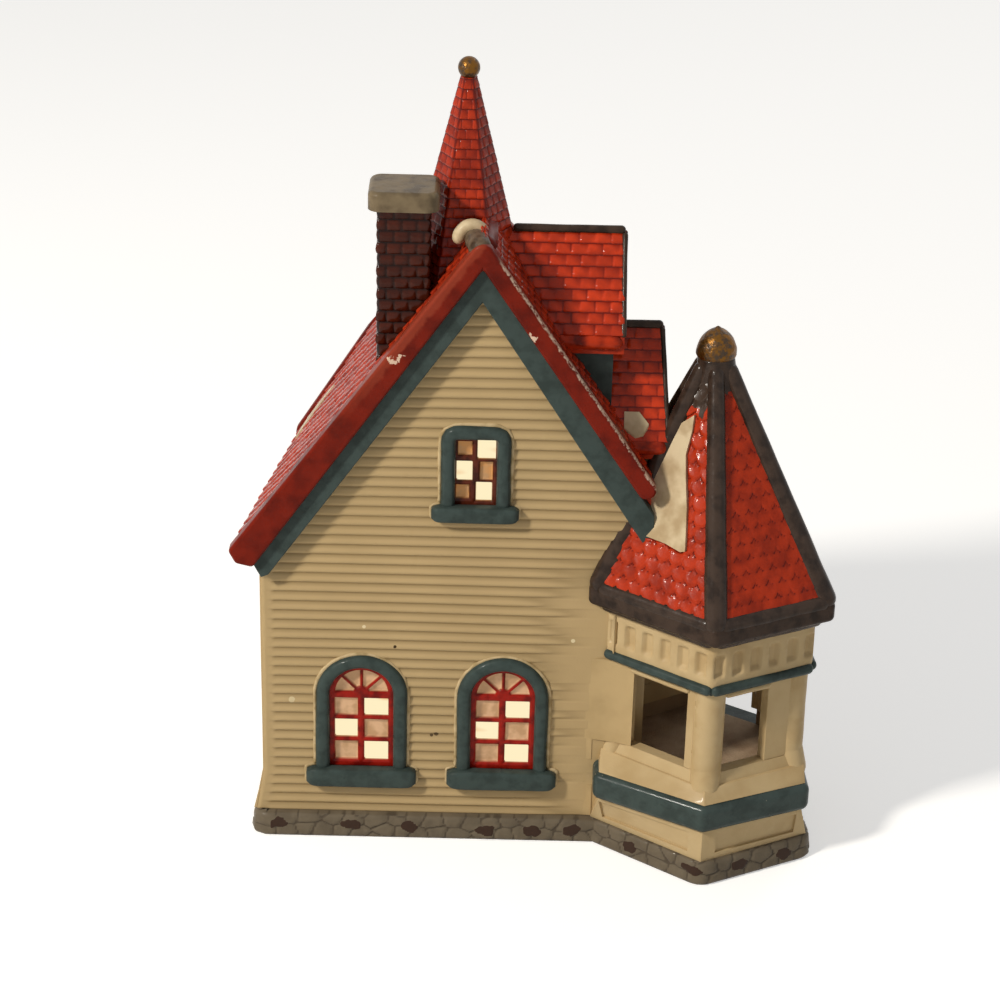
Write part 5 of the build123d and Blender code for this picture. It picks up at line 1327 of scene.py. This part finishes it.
class VILLAGE_OT_window_casings(BuildStep, bpy.types.Operator):
    """Makes the moulded casings and sills of the three windows"""
    bl_idname = "village.window_casings"
    bl_label = "Window Casings"

    def moulding(self, name, centre, line, material, seed):
        """Half-round moulding carried round the opening. Gives its path and the directions away."""
        line = np.array(line, float)
        run = distances(line)
        at = np.linspace(0.0, run[-1], int(run[-1] / 0.6))
        path = points_at(line, run, at)
        ahead = np.gradient(path, axis=0)
        for _ in range(3):
            ahead[1:-1] = (ahead[:-2] + 2 * ahead[1:-1] + ahead[2:]) / 4.0
        ahead = unit_rows(ahead)
        away = np.stack([-ahead[:, 1], ahead[:, 0]], axis=-1)
        turn = np.linspace(math.pi, 0.0, 15)
        cos, sin = np.cos(turn), np.sin(turn)
        across = CASING_WIDTH / 2.0 * (1.0 + np.sign(cos) * np.abs(cos) ** 0.75)
        out = 2.35 * sin ** 0.7
        swell = 1.0 + 0.06 * waver(at, 0 * at, 5.0, seed)[:, None]
        reach = across[None, :] * swell - 0.1
        x = centre + path[:, 0, None] + away[:, 0, None] * reach
        z = path[:, 1, None] + away[:, 1, None] * reach
        rings = np.stack([x, np.broadcast_to(-out[None, :], x.shape), z], axis=-1)
        return ring_piece(name + "_casing_moulding", rings, material, slot="dark_teal"), path, away

    def sill(self, name, centre, half, top, height, material, seed):
        """Bar with a rounded square section whose ends are rounded too."""
        u = np.linspace(-1.0, 1.0, 61)
        taper = np.clip(1.0 - np.abs(u) ** 14, 0.0, 1.0) ** 0.35
        taper[[0, -1]] = 0.6
        turn = circle(32)
        cos, sin = np.cos(turn), np.sin(turn)
        depth = 2.0
        section_y = 1.98 * np.sign(cos) * np.abs(cos) ** 0.45
        section_z = height / 2.0 * np.sign(sin) * np.abs(sin) ** 0.5
        uneven = 1.0 + 0.05 * waver(u * half, 0 * u, 4.0, seed + 1)
        y = section_y[None, :] * taper[:, None] - depth * (0.5 + 0.5 * taper[:, None])
        z = top - height / 2.0 + section_z[None, :] * (taper * uneven)[:, None]
        x = np.broadcast_to((centre + u * half)[:, None], y.shape)
        bar = np.stack([x, np.minimum(y, 0.0), z], axis=-1)
        ring_piece(name + "_sill", bar[::-1], material, slot="dark_teal")

    def casing(self, name, centre, line, half, sill_top, sill_height, material, glaze, seed):
        """Moulding and sill of one window, each with a thin line of cream glaze round it."""
        piece, path, away = self.moulding(name, centre, line, material, seed)
        self.sill(name, centre, half, sill_top, sill_height, material, seed)
        edge = CASING_WIDTH + 0.1
        ring = [(centre + x, -0.3, z) for x, z in path + away * edge if z > sill_top]
        tube(name + "_casing_glaze_line", ring, (0.55, 0.55), glaze, "cream_glaze", 0.25, 10, seed)
        low = sill_top - sill_height
        left = [(-half + 2.5, sill_top + 0.1), (-half - 0.1, sill_top - 0.6), (-half - 0.1, low + 0.6),
                (-half + 1.5, low - 0.1)]
        right = [(-x, z) for x, z in left[::-1]]
        ring = [(centre + x, -0.25, z) for x, z in left + right]
        tube(name + "_sill_glaze_line", ring, (0.5, 0.5), glaze, "cream_glaze", 0.25, 10, seed + 3)
        return piece

    def execute(self, context):
        """Two arched casings below, and a square one in the gable."""
        colours = self.settings(context)[1]
        material = plain_glaze("dark_teal_gloss_paint", colours.teal, colours.teal_deep, 3.5,
                               rough=(0.24, 0.4), brush=0.09, brush_mm=2.4)
        glaze = plain_glaze("cream_glaze_line", linear("#C4AE86"), linear("#9E885F"), 3.0)
        turn = np.linspace(math.pi, 0.0, 40)
        arch = [(LOW_HALF * math.cos(t), LOW_SPRING + LOW_HALF * math.sin(t)) for t in turn]
        arch = [(-LOW_HALF, LOW_BASE - 2.0), *arch, (LOW_HALF, LOW_BASE - 2.0)]
        for name, centre, seed in (("lower_left", LOW_WINDOWS[0], 1.0), ("lower_right", LOW_WINDOWS[1], 2.0)):
            piece = self.casing(name, centre, arch, 15.3, LOW_BASE + 0.2, 5.9, material, glaze, seed)
            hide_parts(name + "_window_casing")
        left = [(-HIGH_HALF, HIGH_BASE - 2.0), (-HIGH_HALF, HIGH_TOP - 0.3), (-HIGH_HALF + 0.3, HIGH_TOP)]
        square = left + [(-x, z) for x, z in left[::-1]]
        piece = self.casing("gable", HIGH_WINDOW, square, 11.7, HIGH_BASE + 0.2, 4.5, material, glaze, 3.0)
        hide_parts("gable_window_casing")
        return {"FINISHED"}


class VILLAGE_OT_sashes(BuildStep, bpy.types.Operator):
    """Makes the painted sashes: bars, closed panes and panes left open to the film behind"""
    bl_idname = "village.sashes"
    bl_label = "Window Sashes"

    FRONT, SUNK, CELL = 0.1, 0.85, 0.22

    def fan_panes(self, x, z, spring):
        """Distance inside each of the four panes of the arch: wedges between two radii and two arcs."""
        reach, angle = np.hypot(x, z - spring), np.arctan2(z - spring, x)
        panes = []
        for k in range(4):
            low, high = k * math.pi / 4.0, (k + 1) * math.pi / 4.0
            gap = np.minimum(reach * np.sin(angle - low), reach * np.sin(high - angle)) - 0.38
            gap = np.minimum(np.minimum(gap, reach - 2.3), 7.4 - reach)
            facing = np.abs(angle - (low + high) / 2.0) < 1.2
            panes.append(np.where(facing, np.minimum(gap, z - spring - 0.7), -1.0))
        return panes

    def sash(self, name, centre, half, base, top, panes, lit, spring, material, seed):
        """Sheet whose depth follows the distance inside the nearest pane; open panes are cut out."""
        x, z = np.meshgrid(np.arange(-half - 0.2, half + 0.3, self.CELL),
                           np.arange(base - 0.3, top, self.CELL), indexing="ij")
        wobble = 0.45 * (0.16 * waver(x, z, 1.7, seed))
        clear = []
        for k, (x0, x1, z0, z1) in enumerate(panes):
            gap = np.minimum(np.minimum(x - x0, x1 - x), np.minimum(z - z0, z1 - z))
            clear.append(gap if k in lit else gap + wobble)
        if spring:
            clear += self.fan_panes(x, z, spring)
        inside = np.max(clear, axis=0)
        y = self.FRONT + self.SUNK * ease(inside, -0.2, 0.3) - 0.22 * ease(-inside, 0.0, 0.7)
        points = np.stack([centre + x, y, z], axis=-1)
        open_gap = np.max([clear[k] for k in lit], axis=0)
        keep = cell_middles(open_gap) < 0.1
        if spring:
            middle_x, middle_z = cell_middles(x), cell_middles(z)
            keep &= ~((np.hypot(middle_x, middle_z - spring) > half + 0.3) & (middle_z > spring))
        piece = make_piece(name + "_sash_bars", points, sheet_faces(*x.shape, keep=keep), material,
                           "sash_red", {"pane": ease(inside, -0.02, 0.2)}, 0.5)
        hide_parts(name + "_window_sash")

    def execute(self, context):
        """Panes are given as left, right, low and high edge; the second, third and last are open."""
        colours = self.settings(context)[1]
        red = sash_paint("red_paint_on_sashes", colours.sash, linear("#6A0E08"), colours.pane)
        brown = sash_paint("brown_red_paint_on_sash", linear("#5A2616"), linear("#34140B"), linear("#C08B55"))
        lit = (1, 2, 5)
        panes = [(x0, x1, z0, z1) for z0, z1 in ((37.7, 43.1), (30.6, 36.3), (23.4, 29.2))
                 for x0, x1 in ((-7.4, -1.0), (0.8, 7.4))]
        for name, centre, seed in (("lower_left", LOW_WINDOWS[0], 1.0), ("lower_right", LOW_WINDOWS[1], 2.6)):
            self.sash(name, centre, LOW_HALF, LOW_BASE, LOW_SPRING + LOW_HALF + 0.3, panes, lit,
                      LOW_SPRING, red, seed)
        panes = [(-4.9, -1.0, 118.3, 122.3), (0.3, 5.2, 117.2, 122.8), (-5.2, -0.9, 110.9, 116.5),
                 (1.0, 4.5, 111.0, 116.4), (-5.3, -1.7, 105.6, 109.6), (0.0, 4.4, 104.9, 110.4)]
        self.sash("gable", HIGH_WINDOW, HIGH_HALF, HIGH_BASE, HIGH_TOP + 0.3, panes, lit, 0.0, brown, 4.0)
        return {"FINISHED"}


class VILLAGE_OT_turret_lips(BuildStep, bpy.types.Operator):
    """Makes the turret's posts and dentils, the bars over its two front openings and the teal string"""
    bl_idname = "village.turret_lips"
    bl_label = "Turret Posts and Dentils"

    BAND_LOW, BAND_HIGH, DENTIL_PITCH, LIP_Z, STRING_Z = 60.2, 75.5, 5.7, 56.2, 59.7

    def dentils(self, glaze):
        """Band carried round the turret; soft hollows of one pitch are sunk into its outer face."""
        corners = [(38.5, 0.0), *turret_ring(33.0)[:5], (46.5, 36.0)]
        path, outward, along = rounded_path(corners, 1.6, 0.5, False)
        inner_z = np.linspace(self.BAND_LOW + 0.3, self.BAND_HIGH - 0.3, 26)
        z = np.concatenate([[self.BAND_LOW], inner_z, [self.BAND_HIGH]])
        a, b = np.meshgrid(along, z, indexing="ij")
        side = a / self.DENTIL_PITCH - np.floor(a / self.DENTIL_PITCH)
        hollow = ease(np.abs(side - 0.5), 0.29, 0.19) * ease(b, 63.2, 64.0) * ease(b, 70.4, 69.6)
        lip = ease(b, self.BAND_LOW, self.BAND_LOW + 0.6) * ease(b, self.BAND_HIGH, self.BAND_HIGH - 0.6)
        out = 0.35 * lip - 1.35 * hollow + 0.25 * ease(b, 73.2, 74.2) + 0.1 * waver(a, b, 6.0, 2.0) - 0.25
        rings = band_rings(path, outward, out, z, 3.0)
        band = ring_piece("turret_dentils", rings, glaze, slot="cream_glaze")
        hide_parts("turret_frieze")

    def posts(self, glaze):
        """Round bar at each corner in front, spreading over the sill at its foot."""
        feet, low, high = turret_ring(30.2), turret_ring(27.4), turret_ring(27.2)
        for corner, radius in enumerate((3.6, 4.2, 3.9, 3.7)):
            line = [(*feet[corner], 23.5), (*low[corner], 33.0), (*high[corner], 63.5)]
            tube(f"turret_post_{corner}", line, (radius, radius), glaze, "cream_glaze", 0.02, 28,
                 1.0 + corner)

    def execute(self, context):
        """A bar over each opening, its ends measured along the side from the side's first corner."""
        colours = self.settings(context)[1]
        glaze = plain_glaze("cream_glaze_lip", linear(LIGHT_CREAM), linear(WARM_CREAM), 10.0)
        self.dentils(glaze)
        self.posts(glaze)
        ring = turret_ring(30.1)
        for side, start, end in ((0, 5.9, 25.4), (1, 4.5, 19.0)):
            first = ring[side]
            along = (ring[side + 1] - first) / np.linalg.norm(ring[side + 1] - first)
            line = [(*(first + along * start), self.LIP_Z), (*(first + along * end), self.LIP_Z)]
            tube(f"turret_lip_{side}_1", line, (1.1, 1.1), glaze, "cream_glaze", 0.05, seed=2.0)
        teal = plain_glaze("dark_teal_paint_on_string", colours.teal, colours.teal_deep, 4.0, brush=0.08)
        ring = turret_ring(32.9)
        for side in range(5):
            line = [(*ring[side], self.STRING_Z), (*ring[side + 1], self.STRING_Z)]
            tube(f"turret_string_bar_{side}", line, (1.5, 1.5), teal, "dark_teal", 0.05, seed=3.0 + side)
        return {"FINISHED"}


class VILLAGE_OT_finials(BuildStep, bpy.types.Operator):
    """Makes the gilded finials of the turret and the spire"""
    bl_idname = "village.finials"
    bl_label = "Finials"

    BALL_R = 2.9

    def dome(self, name, x, y, radius, height, lumps, material):
        """Outline of radius by height turned about an upright axis, with a few shallow dents."""
        height = height[:, None]
        dent = 1.0 + lumps * waver(circle(48) * 3.0, height, 1.3, 4.0)
        return turned(name, x, y, radius[:, None] * dent, height, material, "gilding")

    def execute(self, context):
        """A dome with a small nub on the turret, and a ball that tops the spire."""
        material = gilding(self.settings(context)[1])
        x, y = turret_ring(0.0, TURRET_LEAN * tip_share(FINIAL_FOOT))[0]
        levels = np.linspace(0.0, 1.0, 30)
        fall = np.clip((levels - 0.16) / 0.79, 0.0, 1.0) ** 2.1
        dome_r = FINIAL_R * np.clip(1.0 - fall, 0.0, 1.0) ** 0.66
        nub = 1.1 * np.clip((1.0 - levels) / 0.12, 0.0, 1.0) ** 0.5
        foot = np.interp(levels, [0.0, 0.1, 1.0], [0.94, 1.0, 1.0])
        dome_r = np.maximum(np.maximum(dome_r, nub), 0.12) * foot
        height = FINIAL_FOOT + (FINIAL_TOP - FINIAL_FOOT) * levels
        piece = self.dome("turret_finial_dome", x, y, dome_r, height, 0.035, material)
        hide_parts("turret_finial")
        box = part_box("spire_ball")
        low, high = box[0][2] * MM, box[1][2] * MM
        levels = np.linspace(low, high, 24)
        over = levels - (high - self.BALL_R)
        ball_r = 0.985 * np.sqrt(np.clip(self.BALL_R ** 2 - over ** 2, 0.01, None))
        piece = self.dome("spire_finial_ball", SPIRE_X, CROSS_Y, ball_r, levels, 0.015, material)
        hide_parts("spire_ball")
        return {"FINISHED"}


class VILLAGE_OT_carried_over(BuildStep, bpy.types.Operator):
    """Gives every casting and lamp part that keeps its own shape its glaze, paint or metal"""
    bl_idname = "village.carried_over"
    bl_label = "Glazes and Metals"

    def execute(self, context):
        """Every node of the frame gets one finish; a few get rounded edges too."""
        colours = self.settings(context)[1]
        cream = plain_glaze("cream_gloss_glaze", linear(LIGHT_CREAM), linear(WARM_CREAM), 14.0)
        red = plain_glaze("red_gloss_glaze", colours.red, colours.red_deep, 6.0)
        teal = plain_glaze("dark_teal_gloss_glaze", colours.teal, colours.teal_deep, 4.0, brush=0.08)
        brown = plain_glaze("dark_brown_gloss_paint", colours.brown, colours.brown_deep, 4.0,
                            rough=(0.22, 0.36), brush=0.1, brush_mm=2.6)
        grey = plain_glaze("grey_gloss_paint", linear("#796A52"), linear("#5A4D3B"), 5.0, brush=0.1)
        snow = plain_glaze("off_white_snow_glaze", colours.snow, linear("#AF9773"), 7.0,
                           rough=(0.28, 0.4), brush=0.16, brush_mm=4.5)
        inside = bisque("fired_bisque", "#B89F80", "#967C60")
        # The turret floor's bisque tone is painted light: lightened to stand in for the light that reaches
        # the floor inside the turret.
        floor = bisque("bisque_floor_with_painted_light", "#B59C7F", "#94795E")
        rim = rim_paint(colours)
        film = lit_film(colours)
        plastic = moulded_plastic()
        brass = drawn_metal("drawn_brass", "#C9A350", "#8F6E2E", 0.3)
        steel = drawn_metal("rolled_spring_steel", "#B9B7B0", "#86837B", 0.32)
        coats = {
            cream: ["front_wall", "back_wall", "left_wall", "right_wall", "wing_gable_wall",
                    "turret_base_wall", "turret_sill", "turret_wall", "turret_frieze"],
            plain_glaze("cream_glaze_on_cove", colours.cream, linear("#AF966B"), 12.0): ["wall_cove"],
            plain_glaze("dark_red_paint_on_eave", colours.rim, colours.rim_deep): ["left_roof_slope"],
            red: ["right_roof_slope", "rear_hip_slope", "dormer_roof", "wing_roof",
                  "turret_roof", "spire_shell"],
            rim: ["front_rake_rim", "rear_rake_rim", "lower_left_window_sash", "lower_right_window_sash",
                  "gable_window_sash"],
            teal: ["front_rake_trim", "rear_rake_trim", "dormer_walls",
                   "lower_left_window_casing", "lower_right_window_casing", "gable_window_casing"],
            band_paint(colours): ["turret_band", "turret_string_course"],
            brown: ["turret_ribs", "turret_eave_board", "dormer_ridge_cap", "wing_ridge_cap",
                    "chimney_stack"],
            grey: ["ridge_cap", "chimney_cap", "house_foundation", "turret_foundation"],
            snow: ["spire_snow", "roof_snow", "wing_snow", "turret_snow"],
            floor: ["turret_floor"],
            inside: ["spire_ball", "turret_finial"],
            film: ["window_films"],
            plastic: ["lamp_socket_body", "lamp_flange"],
            brass: ["lamp_socket_liner", "lamp_socket_contact", "bulb_base"],
            steel: ["lamp_clip_left", "lamp_clip_right"],
            bulb_glass(): ["bulb_glass"],
            hot_filament(): ["bulb_filament"],
        }
        covered = [name for names in coats.values() for name in names]
        missing = sorted(set(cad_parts) - set(covered))
        if missing:
            raise RuntimeError("no finish for " + ", ".join(missing))
        for material, names in coats.items():
            for name in names:
                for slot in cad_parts[name].material_slots:
                    slot.material = material
        for name, width in (("turret_wall", 0.9), ("front_rake_rim", 1.3), ("rear_rake_rim", 1.0),
                            ("front_rake_trim", 0.8), ("turret_frieze", 0.45), ("turret_sill", 0.8),
                            ("turret_string_course", 0.6), ("turret_base_wall", 0.4), ("wing_snow", 0.4)):
            self.soften(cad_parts[name], width)
        return {"FINISHED"}

    def soften(self, casting, width):
        """Rounds a casting's edges as thick glaze does."""
        weld = casting.modifiers.new("Weld", "WELD")
        weld.merge_threshold = 0.00001
        flat = casting.modifiers.new("Flat faces", "DECIMATE")
        flat.decimate_type = "DISSOLVE"
        flat.angle_limit = math.radians(1.0)
        bevel = casting.modifiers.new("Rounded edges", "BEVEL")
        bevel.width = width / MM
        bevel.segments = 3
        bevel.limit_method = "ANGLE"
        bevel.angle_limit = math.radians(30.0)
        bevel.harden_normals = True


class VILLAGE_OT_stage(BuildStep, bpy.types.Operator):
    """Sets the pale floor, the soft lamps and the camera"""
    bl_idname = "village.stage"
    bl_label = "Stage"

    def execute(self, context):
        """Floor, world, lamps and camera, seen without a film curve."""
        self.floor()
        self.world(context)
        self.lamps()
        self.camera(context)
        context.scene.view_settings.view_transform = "Standard"
        return {"FINISHED"}

    def floor(self):
        """Plain flat floor, a grid of one height."""
        u, v = np.meshgrid(np.linspace(-2.5, 2.5, 3), np.linspace(-2.0, 3.0, 3), indexing="ij")
        points = np.stack([u, v, 0.0 * u - 0.0001], axis=-1).reshape(-1, 3)
        mesh = bpy.data.meshes.new("floor")
        mesh.from_pydata(points.tolist(), [], sheet_faces(3, 3).tolist())
        floor = bpy.data.objects.new("floor", mesh)
        bpy.context.scene.collection.objects.link(floor)
        material, tree = blank("pale_studio_floor")
        rays = add(tree, "LightPath")
        diffuse = add(tree, "BsdfDiffuse", {}, {"Color": linear("#F2F1EE")})
        seen = larger(tree, rays.outputs["Is Camera Ray"], rays.outputs["Is Glossy Ray"])
        seen = larger(tree, seen, rays.outputs["Is Transmission Ray"])
        lift = add(tree, "Emission", {}, {"Color": WHITE, "Strength": times(tree, seen, 0.42)})
        both = add(tree, "AddShader", {}, {0: diffuse.outputs[0], 1: lift.outputs[0]})
        finish_material(tree, both.outputs[0])
        mesh.materials.append(material)

    def world(self, context):
        """White all round: bright where it is seen, and dim as a light."""
        world = bpy.data.worlds.new("studio")
        world.use_nodes = True
        tree = world.node_tree
        tree.nodes.clear()
        rays = add(tree, "LightPath")
        seen = larger(tree, rays.outputs["Is Camera Ray"], rays.outputs["Is Transmission Ray"])
        seen = larger(tree, seen, rays.outputs["Is Glossy Ray"])
        strength = span(tree, seen, 0.0, 1.0, 0.3, 1.0, False)
        background = add(tree, "Background", {}, {"Color": WHITE, "Strength": strength})
        add(tree, "OutputWorld", {}, {"Surface": background.outputs[0]})
        context.scene.world = world

    def lamp(self, name, direction, distance, size, watts, colour):
        """Round soft lamp at a distance and in a direction from the house, aimed at its middle."""
        lamp = bpy.data.lights.new(name, "AREA")
        lamp.shape = "DISK"
        lamp.size = size
        lamp.energy = watts
        lamp.color = colour
        holder = bpy.data.objects.new(name, lamp)
        bpy.context.scene.collection.objects.link(holder)
        target = Vector((0.0, 0.0, 0.1))
        toward = Vector(direction).normalized()
        holder.location = target + toward * distance
        holder.rotation_euler = toward.to_track_quat("Z", "Y").to_euler()

    def lamps(self):
        """A bright lamp from the left front, a weak one from the right, and one from behind."""
        self.lamp("key", (-0.62, -0.50, 0.60), 1.2, 0.14, 11.4, (1.0, 0.95, 0.87))
        self.lamp("fill", (0.9, -0.9, 0.5), 1.4, 0.7, 0.3, (1.0, 0.97, 0.93))
        self.lamp("rear", (0.7, 0.9, 0.8), 1.4, 0.5, 1.8, (1.0, 0.98, 0.95))

    def camera(self, context):
        """Place, aim, roll and focal length worked out from the photograph's vanishing lines."""
        data = bpy.data.cameras.new("camera")
        data.sensor_width = 36.0
        data.lens = 97.37
        data.clip_start = 0.05
        data.clip_end = 20.0
        camera = bpy.data.objects.new("camera", data)
        context.scene.collection.objects.link(camera)
        eye = (np.array([4.71, -647.54, 423.97]) + LAYOUT_ORIGIN) / MM
        ahead = Vector((0.003546, 0.897269, -0.441469)).normalized()
        level = ahead.cross(Vector((0.0, 0.0, 1.0))).normalized()
        above = level.cross(ahead)
        roll = math.radians(1.43)
        right = level * math.cos(roll) + above * math.sin(roll)
        up = above * math.cos(roll) - level * math.sin(roll)
        turn = Matrix((right, up, -ahead)).transposed().to_4x4()
        camera.matrix_world = Matrix.Translation(Vector(eye)) @ turn
        context.scene.camera = camera


class VILLAGE_PT_panel(bpy.types.Panel):
    """Lists the building steps and the settings"""
    bl_idname = "VILLAGE_PT_panel"
    bl_label = "Village House"
    bl_space_type = "VIEW_3D"
    bl_region_type = "UI"
    bl_category = "Village House"

    def draw(self, context):
        """One button for each step, then one box for each group of settings."""
        for step in STEPS:
            self.layout.operator(step.bl_idname)
        for group in (context.scene.village_house_sizes, context.scene.village_house_colours):
            box = self.layout.box()
            for key in group.__annotations__:
                box.prop(group, key)


STEPS = (VILLAGE_OT_board_walls, VILLAGE_OT_main_roof, VILLAGE_OT_cross_roofs, VILLAGE_OT_roof_edges,
         VILLAGE_OT_spire, VILLAGE_OT_chimney, VILLAGE_OT_turret_roof, VILLAGE_OT_turret_ribs,
         VILLAGE_OT_stone_course, VILLAGE_OT_window_casings, VILLAGE_OT_sashes,
         VILLAGE_OT_turret_lips, VILLAGE_OT_finials, VILLAGE_OT_carried_over, VILLAGE_OT_stage)
CLASSES = (VillageHouseSizes, VillageHouseColours) + STEPS + (VILLAGE_PT_panel,)


def register():
    """Makes the classes known, and the two groups of settings on the scene."""
    for cls in CLASSES:
        bpy.utils.register_class(cls)
    bpy.types.Scene.village_house_sizes = bpy.props.PointerProperty(type=VillageHouseSizes)
    bpy.types.Scene.village_house_colours = bpy.props.PointerProperty(type=VillageHouseColours)


def unregister():
    """Takes back what register did."""
    del bpy.types.Scene.village_house_colours
    del bpy.types.Scene.village_house_sizes
    for cls in reversed(CLASSES):
        bpy.utils.unregister_class(cls)


def main():
    """Runs every building step."""
    register()
    for step in STEPS:
        group, name = step.bl_idname.split(".")
        getattr(getattr(bpy.ops, group), name)()


if __name__ == "__main__":
    main()
